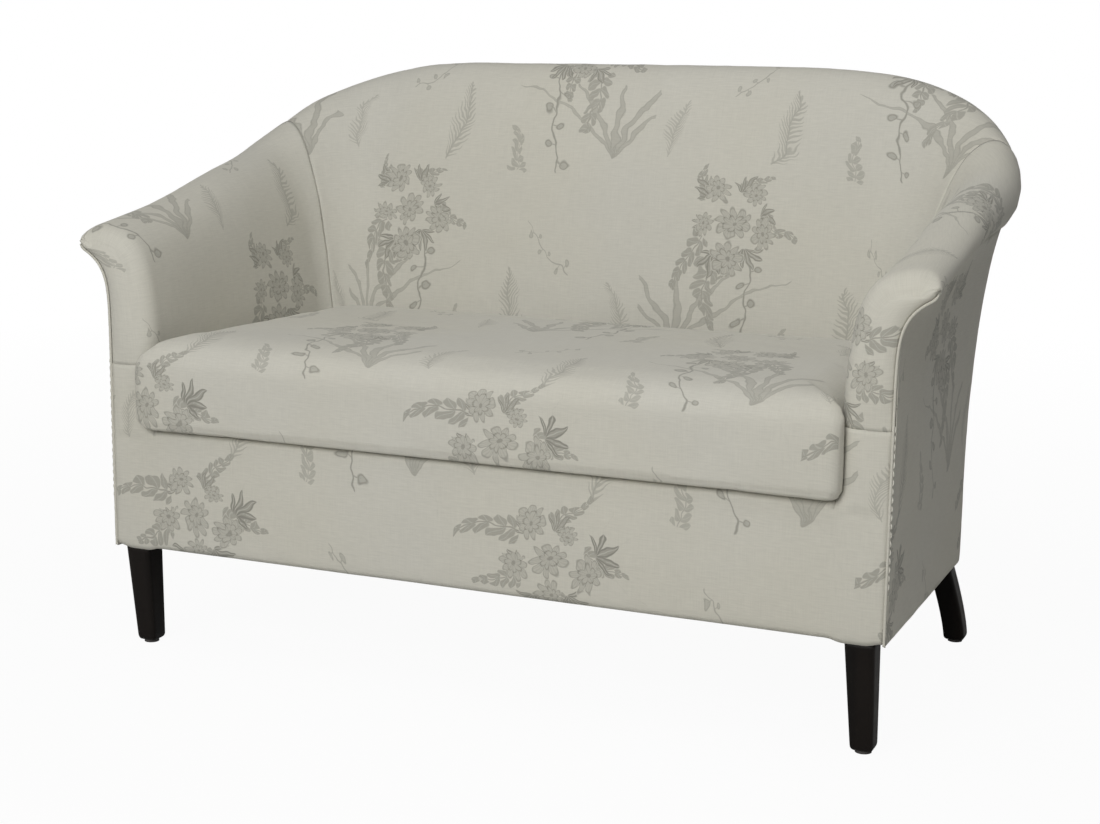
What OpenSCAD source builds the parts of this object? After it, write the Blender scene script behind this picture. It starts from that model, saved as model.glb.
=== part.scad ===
// Two-seat tub loveseat: one continuous rolled wall for arms and back, and a loose bench cushion.
// Millimetres, +Z up, the seat faces -Y. The origin is on the floor under the middle of the outline.

/* [Tub] */
// Width across the outside of the arms at the base
tub_w = 1166; // [1100:2:1300]
// Depth from the arm fronts to the outside of the back at the base
tub_d = 612; // [590:2:680]
// Radius of the rear corners in plan, on the outside
corner_r = 165; // [155:1:175]
// Height of the underside above the floor
base_z = 155; // [135:1:175]
// Height of the arms at their fronts
arm_z = 630; // [620:1:660]
// Height of the back
back_z = 865; // [830:1:910]
// Height of the seat deck under the cushion
deck_z = 338; // [330:1:350]

/* [Rolled rim] */
// How far the arms flare out beyond the base
arm_flare = 49; // [44:1:56]
// How far the rear corners flare out
corner_flare = 62; // [56:1:68]
// How far the back flares out
back_flare = 73; // [64:1:84]
// Width of the roll along the arms
arm_roll_w = 60; // [56:1:66]
// Height of the roll along the arms
arm_roll_h = 40; // [38:1:46]
// Width of the roll along the back
back_roll_w = 74; // [68:1:80]
// Height of the roll along the back
back_roll_h = 106; // [96:1:116]

/* [Walls] */
// Thickness of the arms at the deck
arm_wall = 72; // [68:1:80]
// Thickness of the back at the deck
back_wall = 118; // [110:1:126]
// Thickness of a cover
cover_t = 1.6; // [1.2:0.1:2.2]
// Thickness of the foam on the inside of the arms
arm_foam_t = 26; // [20:1:30]
// Thickness of the foam on the inside of the back
back_foam_t = 45; // [35:1:55]
// Thickness of the foam over the roll
roll_foam_t = 8; // [6:0.5:9]
// Thickness of the foam on the front of the arms and of the seat
front_foam_t = 11; // [8:1:14]
// Thickness of the foam beside the front posts
side_foam_t = 6; // [5:0.5:8]
// Thickness of the bent boards behind the foam
board_t = 3; // [2:0.5:4]
// Radius of the soft inner edge of the arm fronts
edge_r = 27; // [22:1:30]
// Diameter of the piping on the outer edge of the arm fronts
piping_d = 5.4; // [4:0.2:7]

/* [Frame] */
// Thickness of the plywood posts and of the front rail
post_t = 22; // [20:1:28]
// Thickness of the side and back rails
rail_t = 25; // [20:1:30]
// Thickness of the laminated corner rails
corner_rail_t = 40; // [36:1:44]
// Height of the top of the seat rails
rail_top_z = 300; // [285:1:306]
// Thickness of the plywood ribs
rib_t = 18; // [15:1:21]
// Width of the stretcher under the seat
stretcher_w = 30; // [22:1:40]
// Height of the stretcher
stretcher_h = 64; // [50:1:80]
// Side of the corner braces behind the front posts
brace_w = 46; // [36:1:50]

/* [Seat springs] */
// Number of zigzag springs
spring_count = 6; // [4:2:6]
// Distance between the springs
spring_pitch = 128; // [120:1:130]
// Diameter of the spring wire
wire_d = 3.6; // [3:0.1:4.2]
// Width of a spring
spring_w = 50; // [44:1:56]
// Bars in a spring
spring_bars = 14; // [12:2:16]

/* [Legs] */
// Side of the front legs at the top
front_leg_top = 40; // [36:1:44]
// Side of the front legs at the foot
front_leg_foot = 31; // [26:1:34]
// Side of the rear legs at the top
rear_leg_top = 35; // [30:1:38]
// Side of the rear legs at the foot
rear_leg_foot = 32; // [28:1:34]
// How far the front legs lean to the back
front_rake = 16; // [0:1:20]
// How far the rear legs splay to the side
rear_splay = 26; // [10:1:34]
// How far the rear legs rake to the back
rear_rake = 44; // [20:1:54]
// Diameter of the leg bolts
bolt_d = 8; // [6:0.5:8]
// Length of a leg bolt inside the leg
bolt_in_leg = 34; // [25:1:40]
// Outer diameter of the threaded inserts
insert_d = 12; // [11:0.5:13]
// Height of the threaded inserts
insert_h = 25; // [20:1:30]
// Diameter of the glides
glide_d = 22; // [16:1:24]
// Height of the glides
glide_h = 4; // [3:0.5:6]

/* [Cushion] */
// How far the cushion stands in front of the arms
cushion_proud = 22; // [14:1:28]
// How far the front lip reaches over the arm edges, each side
cushion_lip = 16; // [8:1:20]
// Height of the border from the deck to the top edge
cushion_h = 130; // [110:1:140]
// Rise of the crown above the top edge
crown = 13; // [6:1:20]
// How far the front is drawn in between its corners
draw_in = 4; // [2:0.5:6]
// Gap between the cushion and the walls
cushion_gap = 2; // [1.2:0.2:4]
// Length of the zip
zip_w = 600; // [480:10:680]
// Height of the zip tape
zip_h = 22; // [18:1:26]

/* [Hidden] */

linen = [0.80, 0.79, 0.74];
lining = [0.18, 0.18, 0.18];
foam_colour = [0.93, 0.90, 0.80];
beech = [0.80, 0.66, 0.47];
plywood = [0.76, 0.62, 0.42];
wenge = [0.13, 0.09, 0.07];
steel = [0.62, 0.63, 0.65];

// Clearance between layers that lie on each other
fit = 0.3;
// Shape of the wall: where the arm section holds and where the back section takes over
arm_hold = 0.11;
back_hold = 0.57;
// Rise of the rim from the arm to the back, as shares of the way and of the rise
rim_way = [0, 0.14, 0.27, 0.40, 0.52, 0.63, 0.78, 1];
rim_rise = [0, 0.11, 0.27, 0.44, 0.77, 0.96, 1, 1];
// Angle on the roll where the outside panel meets its underside
arm_tuck = -47;
back_tuck = -73;
// Angle on the roll where the inside face takes over
roll_end = 100;
// How late the outside panel bends outwards, as a power
arm_bend = 13;
back_bend = 2.4;
// Reach of the shoulder and of the upright part of the inside face
arm_shoulder = 77;
back_shoulder = 60;
arm_upright = 237;
back_upright = 250;
back_lean = 0.09;
// Place of the seams between arm and back on the way round
inside_seam = 0.46;
outside_seam = 0.52;
rail_seam = 0.43;
// Share of the inside face above the seam of the front border
border_share = 0.85;
tip_edge_r = 5;
// Steps along the section and round the wall
panel_n = 8;
tip_n = 3;
roll_n = 9;
inner_n = 9;
edge_n = 3;
arm_n = 7;
corner_n = 8;
back_n = 3;

half_w = tub_w / 2;
front_y = (cushion_proud - tub_d - back_flare) / 2;
arm_run = tub_d - corner_r;
corner_run = PI / 2 * corner_r;
way = arm_run + corner_run + half_w - corner_r;
arm_end = arm_run / way;
corner_end = (arm_run + corner_run) / way;
corner_centre = [half_w - corner_r, arm_run];
seam_gap = fit / way;
layer_gap = cover_t + fit;
piping_gap = piping_d / 2 + fit;
dust_t = 1;
frame_z = base_z + dust_t + fit;
post_y = layer_gap + front_foam_t + fit;
post_back_y = post_y + post_t;
seat_half = half_w - arm_wall + layer_gap;
rail_out_x = half_w - layer_gap;
rail_out_y = tub_d - layer_gap;
chord_gap = (corner_r + corner_flare) * (1 - cos(45 / corner_n));
rib_gap = 2.5;
foot_row = panel_n;
tip_row = panel_n + tip_n;
roll_row = panel_n + roll_n;
border_row = roll_row + inner_n - 1;
deck_row = roll_row + inner_n;

function mix(a, b, w) = a * (1 - w) + b * w;
function smooth(x) = let (c = min(max(x, 0), 1)) c * c * (3 - 2 * c);
function unit(v) = v / norm(v);

// Smooth curve through knots: cubic pieces whose slopes come from the neighbouring knots
function knot_slope(i, xs, ys) =
    i == 0 ? (ys[1] - ys[0]) / (xs[1] - xs[0])
    : i == len(xs) - 1 ? 0
    : (ys[i + 1] - ys[i - 1]) / (xs[i + 1] - xs[i - 1]);
function knot_span(x, xs, i = 0) = i >= len(xs) - 2 || x < xs[i + 1] ? i : knot_span(x, xs, i + 1);
function through(x, xs, ys) =
    let (i = knot_span(x, xs), h = xs[i + 1] - xs[i], u = (x - xs[i]) / h)
    (2 * u ^ 3 - 3 * u ^ 2 + 1) * ys[i] + (u ^ 3 - 2 * u ^ 2 + u) * h * knot_slope(i, xs, ys)
    + (3 * u ^ 2 - 2 * u ^ 3) * ys[i + 1] + (u ^ 3 - u ^ 2) * h * knot_slope(i + 1, xs, ys);
function bezier(a, b, c, d, s) =
    (1 - s) ^ 3 * a + 3 * (1 - s) ^ 2 * s * b + 3 * (1 - s) * s ^ 2 * c + s ^ 3 * d;

// Base line of the tub, t from 0 at the right arm front to 1 at the middle of the back:
// the point and the direction that points out of the wall
function plan(t) =
    let (s = t * way, a = (s - arm_run) / corner_r * 180 / PI)
    s <= arm_run ? [[half_w, s], [1, 0]]
    : s <= arm_run + corner_run ? [corner_centre + corner_r * [cos(a), sin(a)], [cos(a), sin(a)]]
    : [[half_w - corner_r - (s - arm_run - corner_run), tub_d], [0, 1]];

// Point q = [distance out of the base line, height] at way v, which runs on to 2 at the left front
function half_way(v) = v <= 1 ? v : 2 - v;
function at(v, q) =
    let (p = plan(half_way(v)))
    [(v <= 1 ? 1 : -1) * (p[0].x + p[1].x * q.x), p[0].y + p[1].y * q.x, q.y];

function back_share(t) = smooth((t - arm_hold) / (back_hold - arm_hold));
function wall_at(t) = mix(arm_wall, back_wall, back_share(t));
function roll_half(t) = [
    mix(arm_roll_w, back_roll_w, back_share(t)) / 2,
    mix(arm_roll_h, back_roll_h, back_share(t)) / 2];
flare_way = [0, 0.22, 0.5, 0.75, 1];
flares = [arm_flare, arm_flare, corner_flare, mix(corner_flare, back_flare, 0.8), back_flare];
function flare_at(t) = through(t, flare_way, flares);
function rim_z(t) = mix(arm_z, back_z, through(t, rim_way, rim_rise));
function roll_centre(t) = [flare_at(t), rim_z(t)] - roll_half(t);
function roll_angle(k, tuck) =
    k <= tip_n ? tuck * (1 - k / tip_n) : roll_end * (k - tip_n) / (roll_n - tip_n);
function roll_point(t, a) = roll_centre(t) + [roll_half(t).x * cos(a), roll_half(t).y * sin(a)];
function tuck_at(t) = mix(arm_tuck, back_tuck, back_share(t));
function panel_out(t, z) =
    let (foot = roll_point(t, tuck_at(t)), u = min(max((z - base_z) / (foot.y - base_z), 0), 1))
    foot.x * u ^ exp(mix(ln(arm_bend), ln(back_bend), back_share(t)));

// Section of the wall at t: up the outside panel, over the roll and down the inside to the deck
function section(t) =
    let (
        w = back_share(t),
        foot = roll_point(t, tuck_at(t)),
        top = roll_point(t, roll_end),
        r = roll_half(t),
        dir = unit([-r.x * sin(roll_end), r.y * cos(roll_end)]),
        seat = [-wall_at(t), deck_z],
        shoulder = top + dir * mix(arm_shoulder, back_shoulder, w),
        upright = seat + mix(arm_upright, back_upright, w) * [back_lean * w, 1]
    )
    concat(
        [for (k = [0 : panel_n])
            let (z = mix(base_z, foot.y, 1 - (1 - k / panel_n) ^ 2)) [panel_out(t, z), z]],
        [for (k = [1 : roll_n]) roll_point(t, roll_angle(k, tuck_at(t)))],
        [for (k = [1 : inner_n])
            bezier(top, shoulder, upright, seat, k < inner_n ? border_share * k / (inner_n - 1) : 1)]
    );

// A section moved into the wall by one depth, or by a depth for each row
function inset(p, d) = [for (i = [0 : len(p) - 1])
    let (u = unit(p[min(i + 1, len(p) - 1)] - p[max(i - 1, 0)]))
    p[i] + (is_list(d) ? d[i] : d) * [-u.y, u.x]];

// Depth of the back of the foam below the surface, row by row
function foam_depth(t, extra = 0) = [for (i = [0 : deck_row])
    let (full = mix(arm_foam_t, back_foam_t, back_share(t)), grown = smooth((i - roll_row) / (inner_n - 3)))
    layer_gap + (i <= roll_row ? roll_foam_t : mix(roll_foam_t, full, grown)) + extra];
// Depths of a cover's faces, and of the faces behind the foam
function even(d) = function (t) d;
function behind_foam(extra) = function (t) foam_depth(t, extra);

// Radius of the front edge of the arms, row by row: tight under the roll, soft on the inside
function edge_radius(i) =
    i < tip_row ? piping_gap
    : i > roll_row ? edge_r
    : mix(tip_edge_r, edge_r, smooth((i - tip_row) / (roll_n - tip_n)));

all_ways = concat(
    [for (k = [0 : arm_n]) arm_end * k / arm_n],
    [for (k = [1 : corner_n]) mix(arm_end, corner_end, k / corner_n)],
    [for (k = [1 : back_n]) mix(corner_end, 1, k / back_n)]);
round_ways = concat(all_ways, [for (k = [len(all_ways) - 2 : -1 : 0]) 2 - all_ways[k]]);
// Ways from a to b, with the regular ones that lie between them
function ways(a, b) = concat([a], [for (v = round_ways) if (v > a + 0.008 && v < b - 0.008) v], [b]);

function rows(list, a, b) = [for (i = [a : b]) list[i]];
function flat(grid) = [for (row = grid) each row];
function quad(a, b, c, d) = [[a, b, c], [a, c, d]];

// Grid of points on the wall: one list for each row from a to b, one point for each way.
// depth is a function of the way; at the arm front each row starts at its own distance, starts[i].
function cut_at(v, depth) = inset(section(half_way(v)), depth(half_way(v)));
function wall_grid(vs, a, b, depth, starts) =
    let (cuts = [for (v = vs) cut_at(v, depth)])
    [for (i = [a : b]) [for (j = [0 : len(vs) - 1])
        let (v = vs[j] > 0 ? vs[j] : starts[i] / way)
        at(v, vs[j] > 0 ? cuts[j][i] : cut_at(v, depth)[i])]];
function constant(c) = [for (i = [0 : deck_row]) c];

function grid_faces(r, c) = [for (i = [0 : r - 2]) for (j = [0 : c - 2])
    each quad(i * c + j, (i + 1) * c + j, (i + 1) * c + j + 1, i * c + j + 1)];
function grid_rim(r, c) = concat(
    [for (i = [0 : r - 2]) i * c],
    [for (j = [0 : c - 2]) (r - 1) * c + j],
    [for (i = [r - 1 : -1 : 1]) i * c + c - 1],
    [for (j = [c - 1 : -1 : 1]) j]);

// Solid between an outer and an inner layer of the same points, closed along its rims
module layered(outer, inner, faces, rims) {
    n = len(outer);
    polyhedron(
        points = concat(outer, inner),
        faces = concat(
            faces,
            [for (f = faces) [for (k = [len(f) - 1 : -1 : 0]) f[k] + n]],
            [for (rim = rims) for (k = [0 : len(rim) - 1])
                let (p = rim[k], q = rim[(k + 1) % len(rim)]) each quad(q, p, p + n, q + n)]
        ),
        convexity = 6);
}

module sheet(outer, inner) {
    r = len(outer);
    c = len(outer[0]);
    layered(flat(outer), flat(inner), grid_faces(r, c), [grid_rim(r, c)]);
}

// One end of a loft, face up, as quads between the two halves of its loop (an even number of points)
function end_quads(n, from) = [for (k = [0 : n / 2 - 2])
    each quad(from + k, from + k + 1, from + n - 2 - k, from + n - 1 - k)];

// Solid through closed loops of the same number of points, with flat ends. A hollow outline
// needs paired ends, where each end is filled straight across
module loft(loops, paired = false) {
    n = len(loops[0]);
    m = len(loops);
    low_end = [for (f = end_quads(n, 0)) [for (k = [len(f) - 1 : -1 : 0]) f[k]]];
    polyhedron(
        points = flat(loops),
        faces = concat(
            paired ? low_end : [[for (k = [n - 1 : -1 : 0]) k]],
            [for (j = [0 : m - 2]) for (k = [0 : n - 1])
                each quad(j * n + k, j * n + (k + 1) % n, (j + 1) * n + (k + 1) % n, (j + 1) * n + k)],
            paired ? end_quads(n, (m - 1) * n) : [[for (k = [0 : n - 1]) (m - 1) * n + k]]
        ),
        convexity = 4);
}

// Everything is drawn with y from the arm fronts; this puts it in the part's frame
module in_frame() {
    translate([0, front_y, 0]) children();
}
module on_side(s) {
    in_frame() mirror([s < 0 ? 1 : 0, 0, 0]) children();
}

// Seat rails and braces
module front_seat_rail() {
    color(beech) in_frame() translate([-seat_half, post_y, frame_z])
        cube([2 * seat_half, post_t, rail_top_z - frame_z]);
}
module back_seat_rail() {
    color(beech) in_frame() translate([-corner_centre.x, rail_out_y - rail_t, frame_z])
        cube([2 * corner_centre.x, rail_t, rail_top_z - frame_z]);
}
module side_seat_rail(s) {
    color(beech) on_side(s) translate([rail_out_x - rail_t, post_back_y, frame_z])
        cube([rail_t, arm_run - post_back_y, rail_top_z - frame_z]);
}
corner_rail_r = corner_r - layer_gap - chord_gap;
rear_bolt_a = 34;
rear_bolt = corner_centre + (corner_rail_r - corner_rail_t / 2) * [cos(rear_bolt_a), sin(rear_bolt_a)];
front_bolt = [half_w - layer_gap - 32, post_y + post_t / 2];
insert_hole_d = insert_d + 2 * fit;
module insert_hole(p) {
    translate([p.x, p.y, frame_z - 1]) cylinder(d = insert_hole_d, h = insert_h + 1 + fit, $fn = 48);
}
module corner_rail(s) {
    color(plywood) on_side(s) difference() {
        translate([corner_centre.x, corner_centre.y, frame_z]) rotate_extrude(angle = 90, $fn = 96)
            translate([corner_rail_r - corner_rail_t, 0]) square([corner_rail_t, rail_top_z - frame_z]);
        insert_hole(rear_bolt);
    }
}
module seat_stretcher() {
    color(beech) in_frame() translate([-stretcher_w / 2, post_back_y, frame_z])
        cube([stretcher_w, rail_out_y - rail_t - post_back_y, stretcher_h]);
}
brace_h = 60;
module corner_braces() {
    color(beech) for (s = [-1, 1]) on_side(s) translate([rail_out_x - rail_t, post_back_y, frame_z])
        linear_extrude(brace_h) polygon([[0, 0], [0, brace_w], [-brace_w, 0]]);
}

// Front posts: a board in the shape of the arm front, inside the foam
function post_line(grow) =
    let (
        t = post_y / way,
        skin = inset(section(t), layer_gap + side_foam_t + fit - grow),
        core = inset(section(t), foam_depth(t, 4 + fit - grow)),
        inner = inset(section(t), foam_depth(t, board_t + 3 * fit - grow)),
        low_x = -arm_wall + layer_gap - grow
    )
    concat(
        [[skin[0].x, frame_z - grow]],
        rows(skin, 1, foot_row),
        rows(core, tip_row, roll_row - 1),
        rows(inner, roll_row + 1, deck_row),
        [[inner[deck_row].x, rail_top_z + grow], [low_x, rail_top_z + grow], [low_x, frame_z - grow]]);
module post_block(grow) {
    translate([half_w, post_back_y + grow, 0]) rotate([90, 0, 0])
        linear_extrude(post_t + 2 * grow) polygon(post_line(grow));
}
module front_post(s) {
    color(plywood) on_side(s) difference() {
        post_block(0);
        insert_hole(front_bolt);
    }
}

// Rim rails: an oval bar inside the roll
arm_bar = [17, 8];
back_bar = [16, 25];
function bar_half(t) = mix(arm_bar, back_bar, back_share(t));
function bar_loop(v) =
    let (c = roll_centre(half_way(v)), h = bar_half(half_way(v)))
    [for (k = [0 : 7]) at(v, c + [h.x * cos(45 * k + 22.5), h.y * sin(45 * k + 22.5)])];
module rim_rail(a, b) {
    loft([for (v = ways(a, b)) bar_loop(v)]);
}
module arm_rail(s) {
    color(beech) on_side(s) rim_rail((post_back_y + fit) / way, rail_seam - seam_gap);
}
module crest_rail() {
    color(beech) in_frame() rim_rail(rail_seam, 2 - rail_seam);
}

// Ribs stand on the seat rails and carry the rim rails
function bar_foot(t) = rim_z(t) - roll_half(t).y - bar_half(t).y * cos(22.5);
module rib(v) {
    t = half_way(v);
    half = rib_t / 2 / way;
    top_z = min([for (e = [-half, half]) bar_foot(min(t + e, 1))]) - fit;
    skin = inset(section(t), layer_gap + side_foam_t);
    inner = inset(section(t), foam_depth(t, board_t + rib_gap));
    skin_rows = [for (i = [1 : foot_row]) if (skin[i].y > rail_top_z + 5 && skin[i].y < top_z - 5) skin[i]];
    inner_rows = [for (i = [roll_row : deck_row]) if (inner[i].y < top_z - 5) inner[i]];
    inner_top = lookup(top_z, [for (i = [deck_row : -1 : roll_row]) [inner[i].y, inner[i].x]]);
    p = plan(t);
    translate([p[0].x, p[0].y, 0]) rotate([90, 0, atan2(p[1].y, p[1].x)])
        linear_extrude(rib_t, center = true) polygon(concat(
            [[skin[0].x, rail_top_z]],
            skin_rows,
            [[roll_centre(t).x + 4, top_z], [inner_top, top_z]],
            inner_rows,
            [[inner[deck_row].x, rail_top_z]]));
}
arm_rib_way = 0.21;
corner_rib_way = (arm_end + corner_end) / 2;
back_rib_x = 2 * spring_pitch;
module arm_rib(s) {
    color(plywood) on_side(s) rib(arm_rib_way);
}
module corner_rib(s) {
    color(plywood) on_side(s) rib(corner_rib_way);
}
module back_rib(s) {
    color(plywood) on_side(s) rib(1 - abs(s) * back_rib_x / way);
}

// Bent boards behind the foam
board_row = roll_row + 2;
foam_start = constant(edge_r + fit);
module board(a, b) {
    vs = ways(a, b);
    sheet(
        wall_grid(vs, board_row, deck_row, behind_foam(fit), foam_start),
        wall_grid(vs, board_row, deck_row, behind_foam(fit + board_t), foam_start));
}
module arm_board(s) {
    color(plywood) on_side(s) board(0, inside_seam - seam_gap);
}
module back_board() {
    color(plywood) in_frame() board(inside_seam, 2 - inside_seam);
}

// Zigzag springs: straight bars joined by half rings, in one plane, hooked under clips on the rails
spring_z = rail_top_z + 4.6;
rail_mid_ys = [post_y + post_t / 2, rail_out_y - rail_t / 2];
bar_step = floor(2 * (rail_mid_ys[1] - rail_mid_ys[0]) / (spring_bars - 1)) / 2;
bar_l = spring_w - bar_step;
spring_l = bar_step * (spring_bars - 1);
spring_front_y = (rail_mid_ys[0] + rail_mid_ys[1] - spring_l) / 2;
spring_ys = [spring_front_y, spring_front_y + spring_l];
module half_ring(side) {
    translate([side * bar_l / 2, 0, 0]) rotate([0, 0, side > 0 ? -90 : 90])
        rotate_extrude(angle = 180, $fn = 48) translate([bar_step / 2, 0]) circle(d = wire_d, $fn = 24);
}
module spring() {
    for (k = [0 : spring_bars - 1])
        translate([-bar_l / 2, k * bar_step, 0]) rotate([0, 90, 0]) cylinder(d = wire_d, h = bar_l, $fn = 24);
    for (k = [0 : spring_bars - 2])
        translate([0, (k + 0.5) * bar_step, 0]) half_ring(k % 2 == 0 ? 1 : -1);
}
spring_xs = [for (k = [0 : spring_count - 1]) (k - (spring_count - 1) / 2) * spring_pitch];
module seat_springs() {
    color(steel) in_frame() for (x = spring_xs) translate([x, spring_front_y, spring_z]) spring();
}
clip_w = 12;
clip_h = spring_z - rail_top_z + wire_d / 2 + fit + 1;
module clip() {
    difference() {
        translate([-clip_w / 2, -clip_w / 2, 0]) cube([clip_w, clip_w, clip_h]);
        translate([-clip_w, 0, spring_z - rail_top_z]) rotate([0, 90, 0])
            cylinder(d = wire_d + 2 * fit, h = 2 * clip_w, $fn = 32);
    }
}
module spring_clips() {
    color(steel) in_frame() for (x = spring_xs, y = spring_ys) translate([x, y, rail_top_z]) clip();
}
pad_z = spring_z + wire_d / 2 + 2 * fit + 1;
flange_y = post_back_y + 12;
module seat_pad() {
    start = (flange_y + fit) / way;
    line = [for (v = ways(start, 2 - start)) let (q = at(v, [-wall_at(half_way(v)) - fit, 0])) [q.x, q.y]];
    color(lining) in_frame() translate([0, 0, pad_z]) linear_extrude(deck_z - pad_z) polygon(line);
}

// Foam on the inside of the wall and over the roll
module wall_foam(a, b) {
    vs = ways(a, b);
    sheet(
        wall_grid(vs, foot_row + 1, deck_row, even(layer_gap), foam_start),
        wall_grid(vs, foot_row + 1, deck_row, behind_foam(0), foam_start));
}
module arm_foam(s) {
    color(foam_colour) on_side(s) wall_foam(0, inside_seam - seam_gap);
}
module back_foam() {
    color(foam_colour) in_frame() wall_foam(inside_seam, 2 - inside_seam);
}
// Foam on the arm fronts: a plate before the post, rounded to the soft edges, and behind it
// an edge roll that goes round the post and leaves room for the rim to rise
function pad_point(i, y, depth) = let (q = inset(section(y / way), depth)[i]) [half_w + q.x, y, q.y];
function edge_depth(i, y) =
    let (r = edge_radius(i), pad_r = (r - cover_t) * cos(45 / edge_n) - fit)
    r - sqrt(max(pad_r ^ 2 - max(r - y, 0) ^ 2, 0));
function pad_loop(y) =
    let (ps = [for (i = [0 : deck_row]) pad_point(i, y, edge_depth(i, y))])
    concat([[ps[0].x, y, frame_z]], rows(ps, 1, deck_row), [[ps[deck_row].x, y, frame_z]]);
plate_back_y = post_y - fit;
pad_ys = [layer_gap, mix(layer_gap, plate_back_y, 0.13), mix(layer_gap, plate_back_y, 0.45), plate_back_y];
roll_ys = [post_y, mix(post_y, edge_r, 0.4), edge_r];
roll_depth = foam_depth(0, board_t);
rim_lead = 2.6;
function around_post(i) = i < tip_row ? layer_gap + side_foam_t - rim_lead : roll_depth[i];
function seated(q) = [q.x, q.y, max(q.z, frame_z)];
module arm_front_pad(s) {
    color(foam_colour) on_side(s) {
        loft([for (y = pad_ys) pad_loop(y)], paired = true);
        sheet(
            [for (i = [0 : deck_row]) [for (y = roll_ys) seated(pad_point(i, y, edge_depth(i, y)))]],
            [for (i = [0 : deck_row]) [for (y = roll_ys) seated(pad_point(i, y, around_post(i)))]]);
    }
}
// Foam on the front border, over the front rail
border_r = 12;
border_z = deck_z - border_r;
between_arms = half_w - arm_wall - fit;
module across(half, y0 = 0, z0 = 0) {
    translate([half, y0, z0]) rotate([90, 0, -90]) linear_extrude(2 * half) mirror([1, 0]) children();
}
module front_border_pad() {
    r = border_r - layer_gap;
    color(foam_colour) in_frame() {
        across(seat_half - fit) translate([layer_gap, frame_z]) square([front_foam_t, border_z - frame_z]);
        across(between_arms) {
            translate([border_r, border_z]) intersection() {
                circle(r, $fn = 48);
                translate([-r, 0]) square(r);
            }
            translate([border_r, border_z]) square([flange_y - border_r, r]);
            translate([border_r, pad_z]) square([flange_y - border_r, border_z - pad_z]);
        }
    }
}

// Covers
// Inside cover of an arm: over the roll, down to the deck, and round the soft edge to the front
cover_start = [for (i = [0 : deck_row]) edge_radius(i)];
front_z = section(0)[border_row].y;
module inside_arm_cover(s) {
    vs = ways(0, inside_seam - seam_gap);
    cols = len(vs);
    cut = inset(section(0), piping_gap);
    low_rows = [for (i = [foot_row : -1 : 1]) if (cut[i].y > front_z + 8) i];
    free_line = concat(
        [for (i = [tip_row - 1 : -1 : foot_row + 1]) cut[i]],
        [for (i = low_rows) cut[i]],
        [[panel_out(0, front_z) - piping_gap, front_z]]);
    grids = [for (d = [0, cover_t]) flat(wall_grid(vs, foot_row, deck_row, even(d), cover_start))];
    edges = [for (d = [0, cover_t]) [for (i = [tip_row : border_row]) for (k = [1 : edge_n])
        let (r = cover_start[i], a = 90 * k / edge_n)
        pad_point(i, r - (r - d) * sin(a), r - (r - d) * cos(a))]];
    fronts = [for (d = [0, cover_t]) [for (q = free_line) [half_w + q.x, d, q.y]]];
    main = function (i, j) (i - foot_row) * cols + j;
    first_edge = (deck_row - foot_row + 1) * cols;
    edge = function (i, k) k == 0 ? main(i, 0) : first_edge + (i - tip_row) * edge_n + k - 1;
    first_front = first_edge + (border_row - tip_row + 1) * edge_n;
    front_ids = [for (k = [0 : len(free_line) - 1]) first_front + k];
    faces = concat(
        grid_faces(deck_row - foot_row + 1, cols),
        [for (i = [tip_row : border_row - 1]) for (k = [0 : edge_n - 1])
            each quad(edge(i, k + 1), edge(i + 1, k + 1), edge(i + 1, k), edge(i, k))],
        [concat([for (i = [border_row : -1 : tip_row]) edge(i, edge_n)], front_ids)]);
    rim = concat(
        [for (j = [0 : cols - 2]) main(deck_row, j)],
        [for (i = [deck_row : -1 : foot_row + 1]) main(i, cols - 1)],
        [for (j = [cols - 1 : -1 : 1]) main(foot_row, j)],
        [for (i = [foot_row : tip_row - 1]) main(i, 0)],
        [for (k = [0 : edge_n]) edge(tip_row, k)],
        front_ids,
        [for (k = [edge_n : -1 : 1]) edge(border_row, k)],
        [for (i = [border_row : deck_row - 1]) main(i, 0)]);
    layers = [for (d = [0, 1]) concat(grids[d], edges[d], fronts[d])];
    color(linen) on_side(s) layered(layers[0], layers[1], faces, [rim]);
}
module inside_back_cover() {
    vs = ways(inside_seam, 2 - inside_seam);
    color(linen) in_frame() sheet(
        wall_grid(vs, foot_row, deck_row, even(0), cover_start),
        wall_grid(vs, foot_row, deck_row, even(cover_t), cover_start));
}
// Outside covers end just short of the roll's own cover
function outside_grid(vs, depth) =
    let (g = wall_grid(vs, 0, foot_row, even(depth), constant(piping_gap)))
    [for (i = [0 : foot_row]) i < foot_row ? g[i]
        : [for (j = [0 : len(vs) - 1]) g[i][j] + 2 * fit * unit(g[i - 1][j] - g[i][j])]];
module outside_cover(a, b) {
    vs = ways(a, b);
    sheet(outside_grid(vs, 0), outside_grid(vs, cover_t));
}
module outside_arm_cover(s) {
    color(linen) on_side(s) outside_cover(0, outside_seam - seam_gap);
}
module outside_back_cover() {
    color(linen) in_frame() outside_cover(outside_seam, 2 - outside_seam);
}
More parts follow.
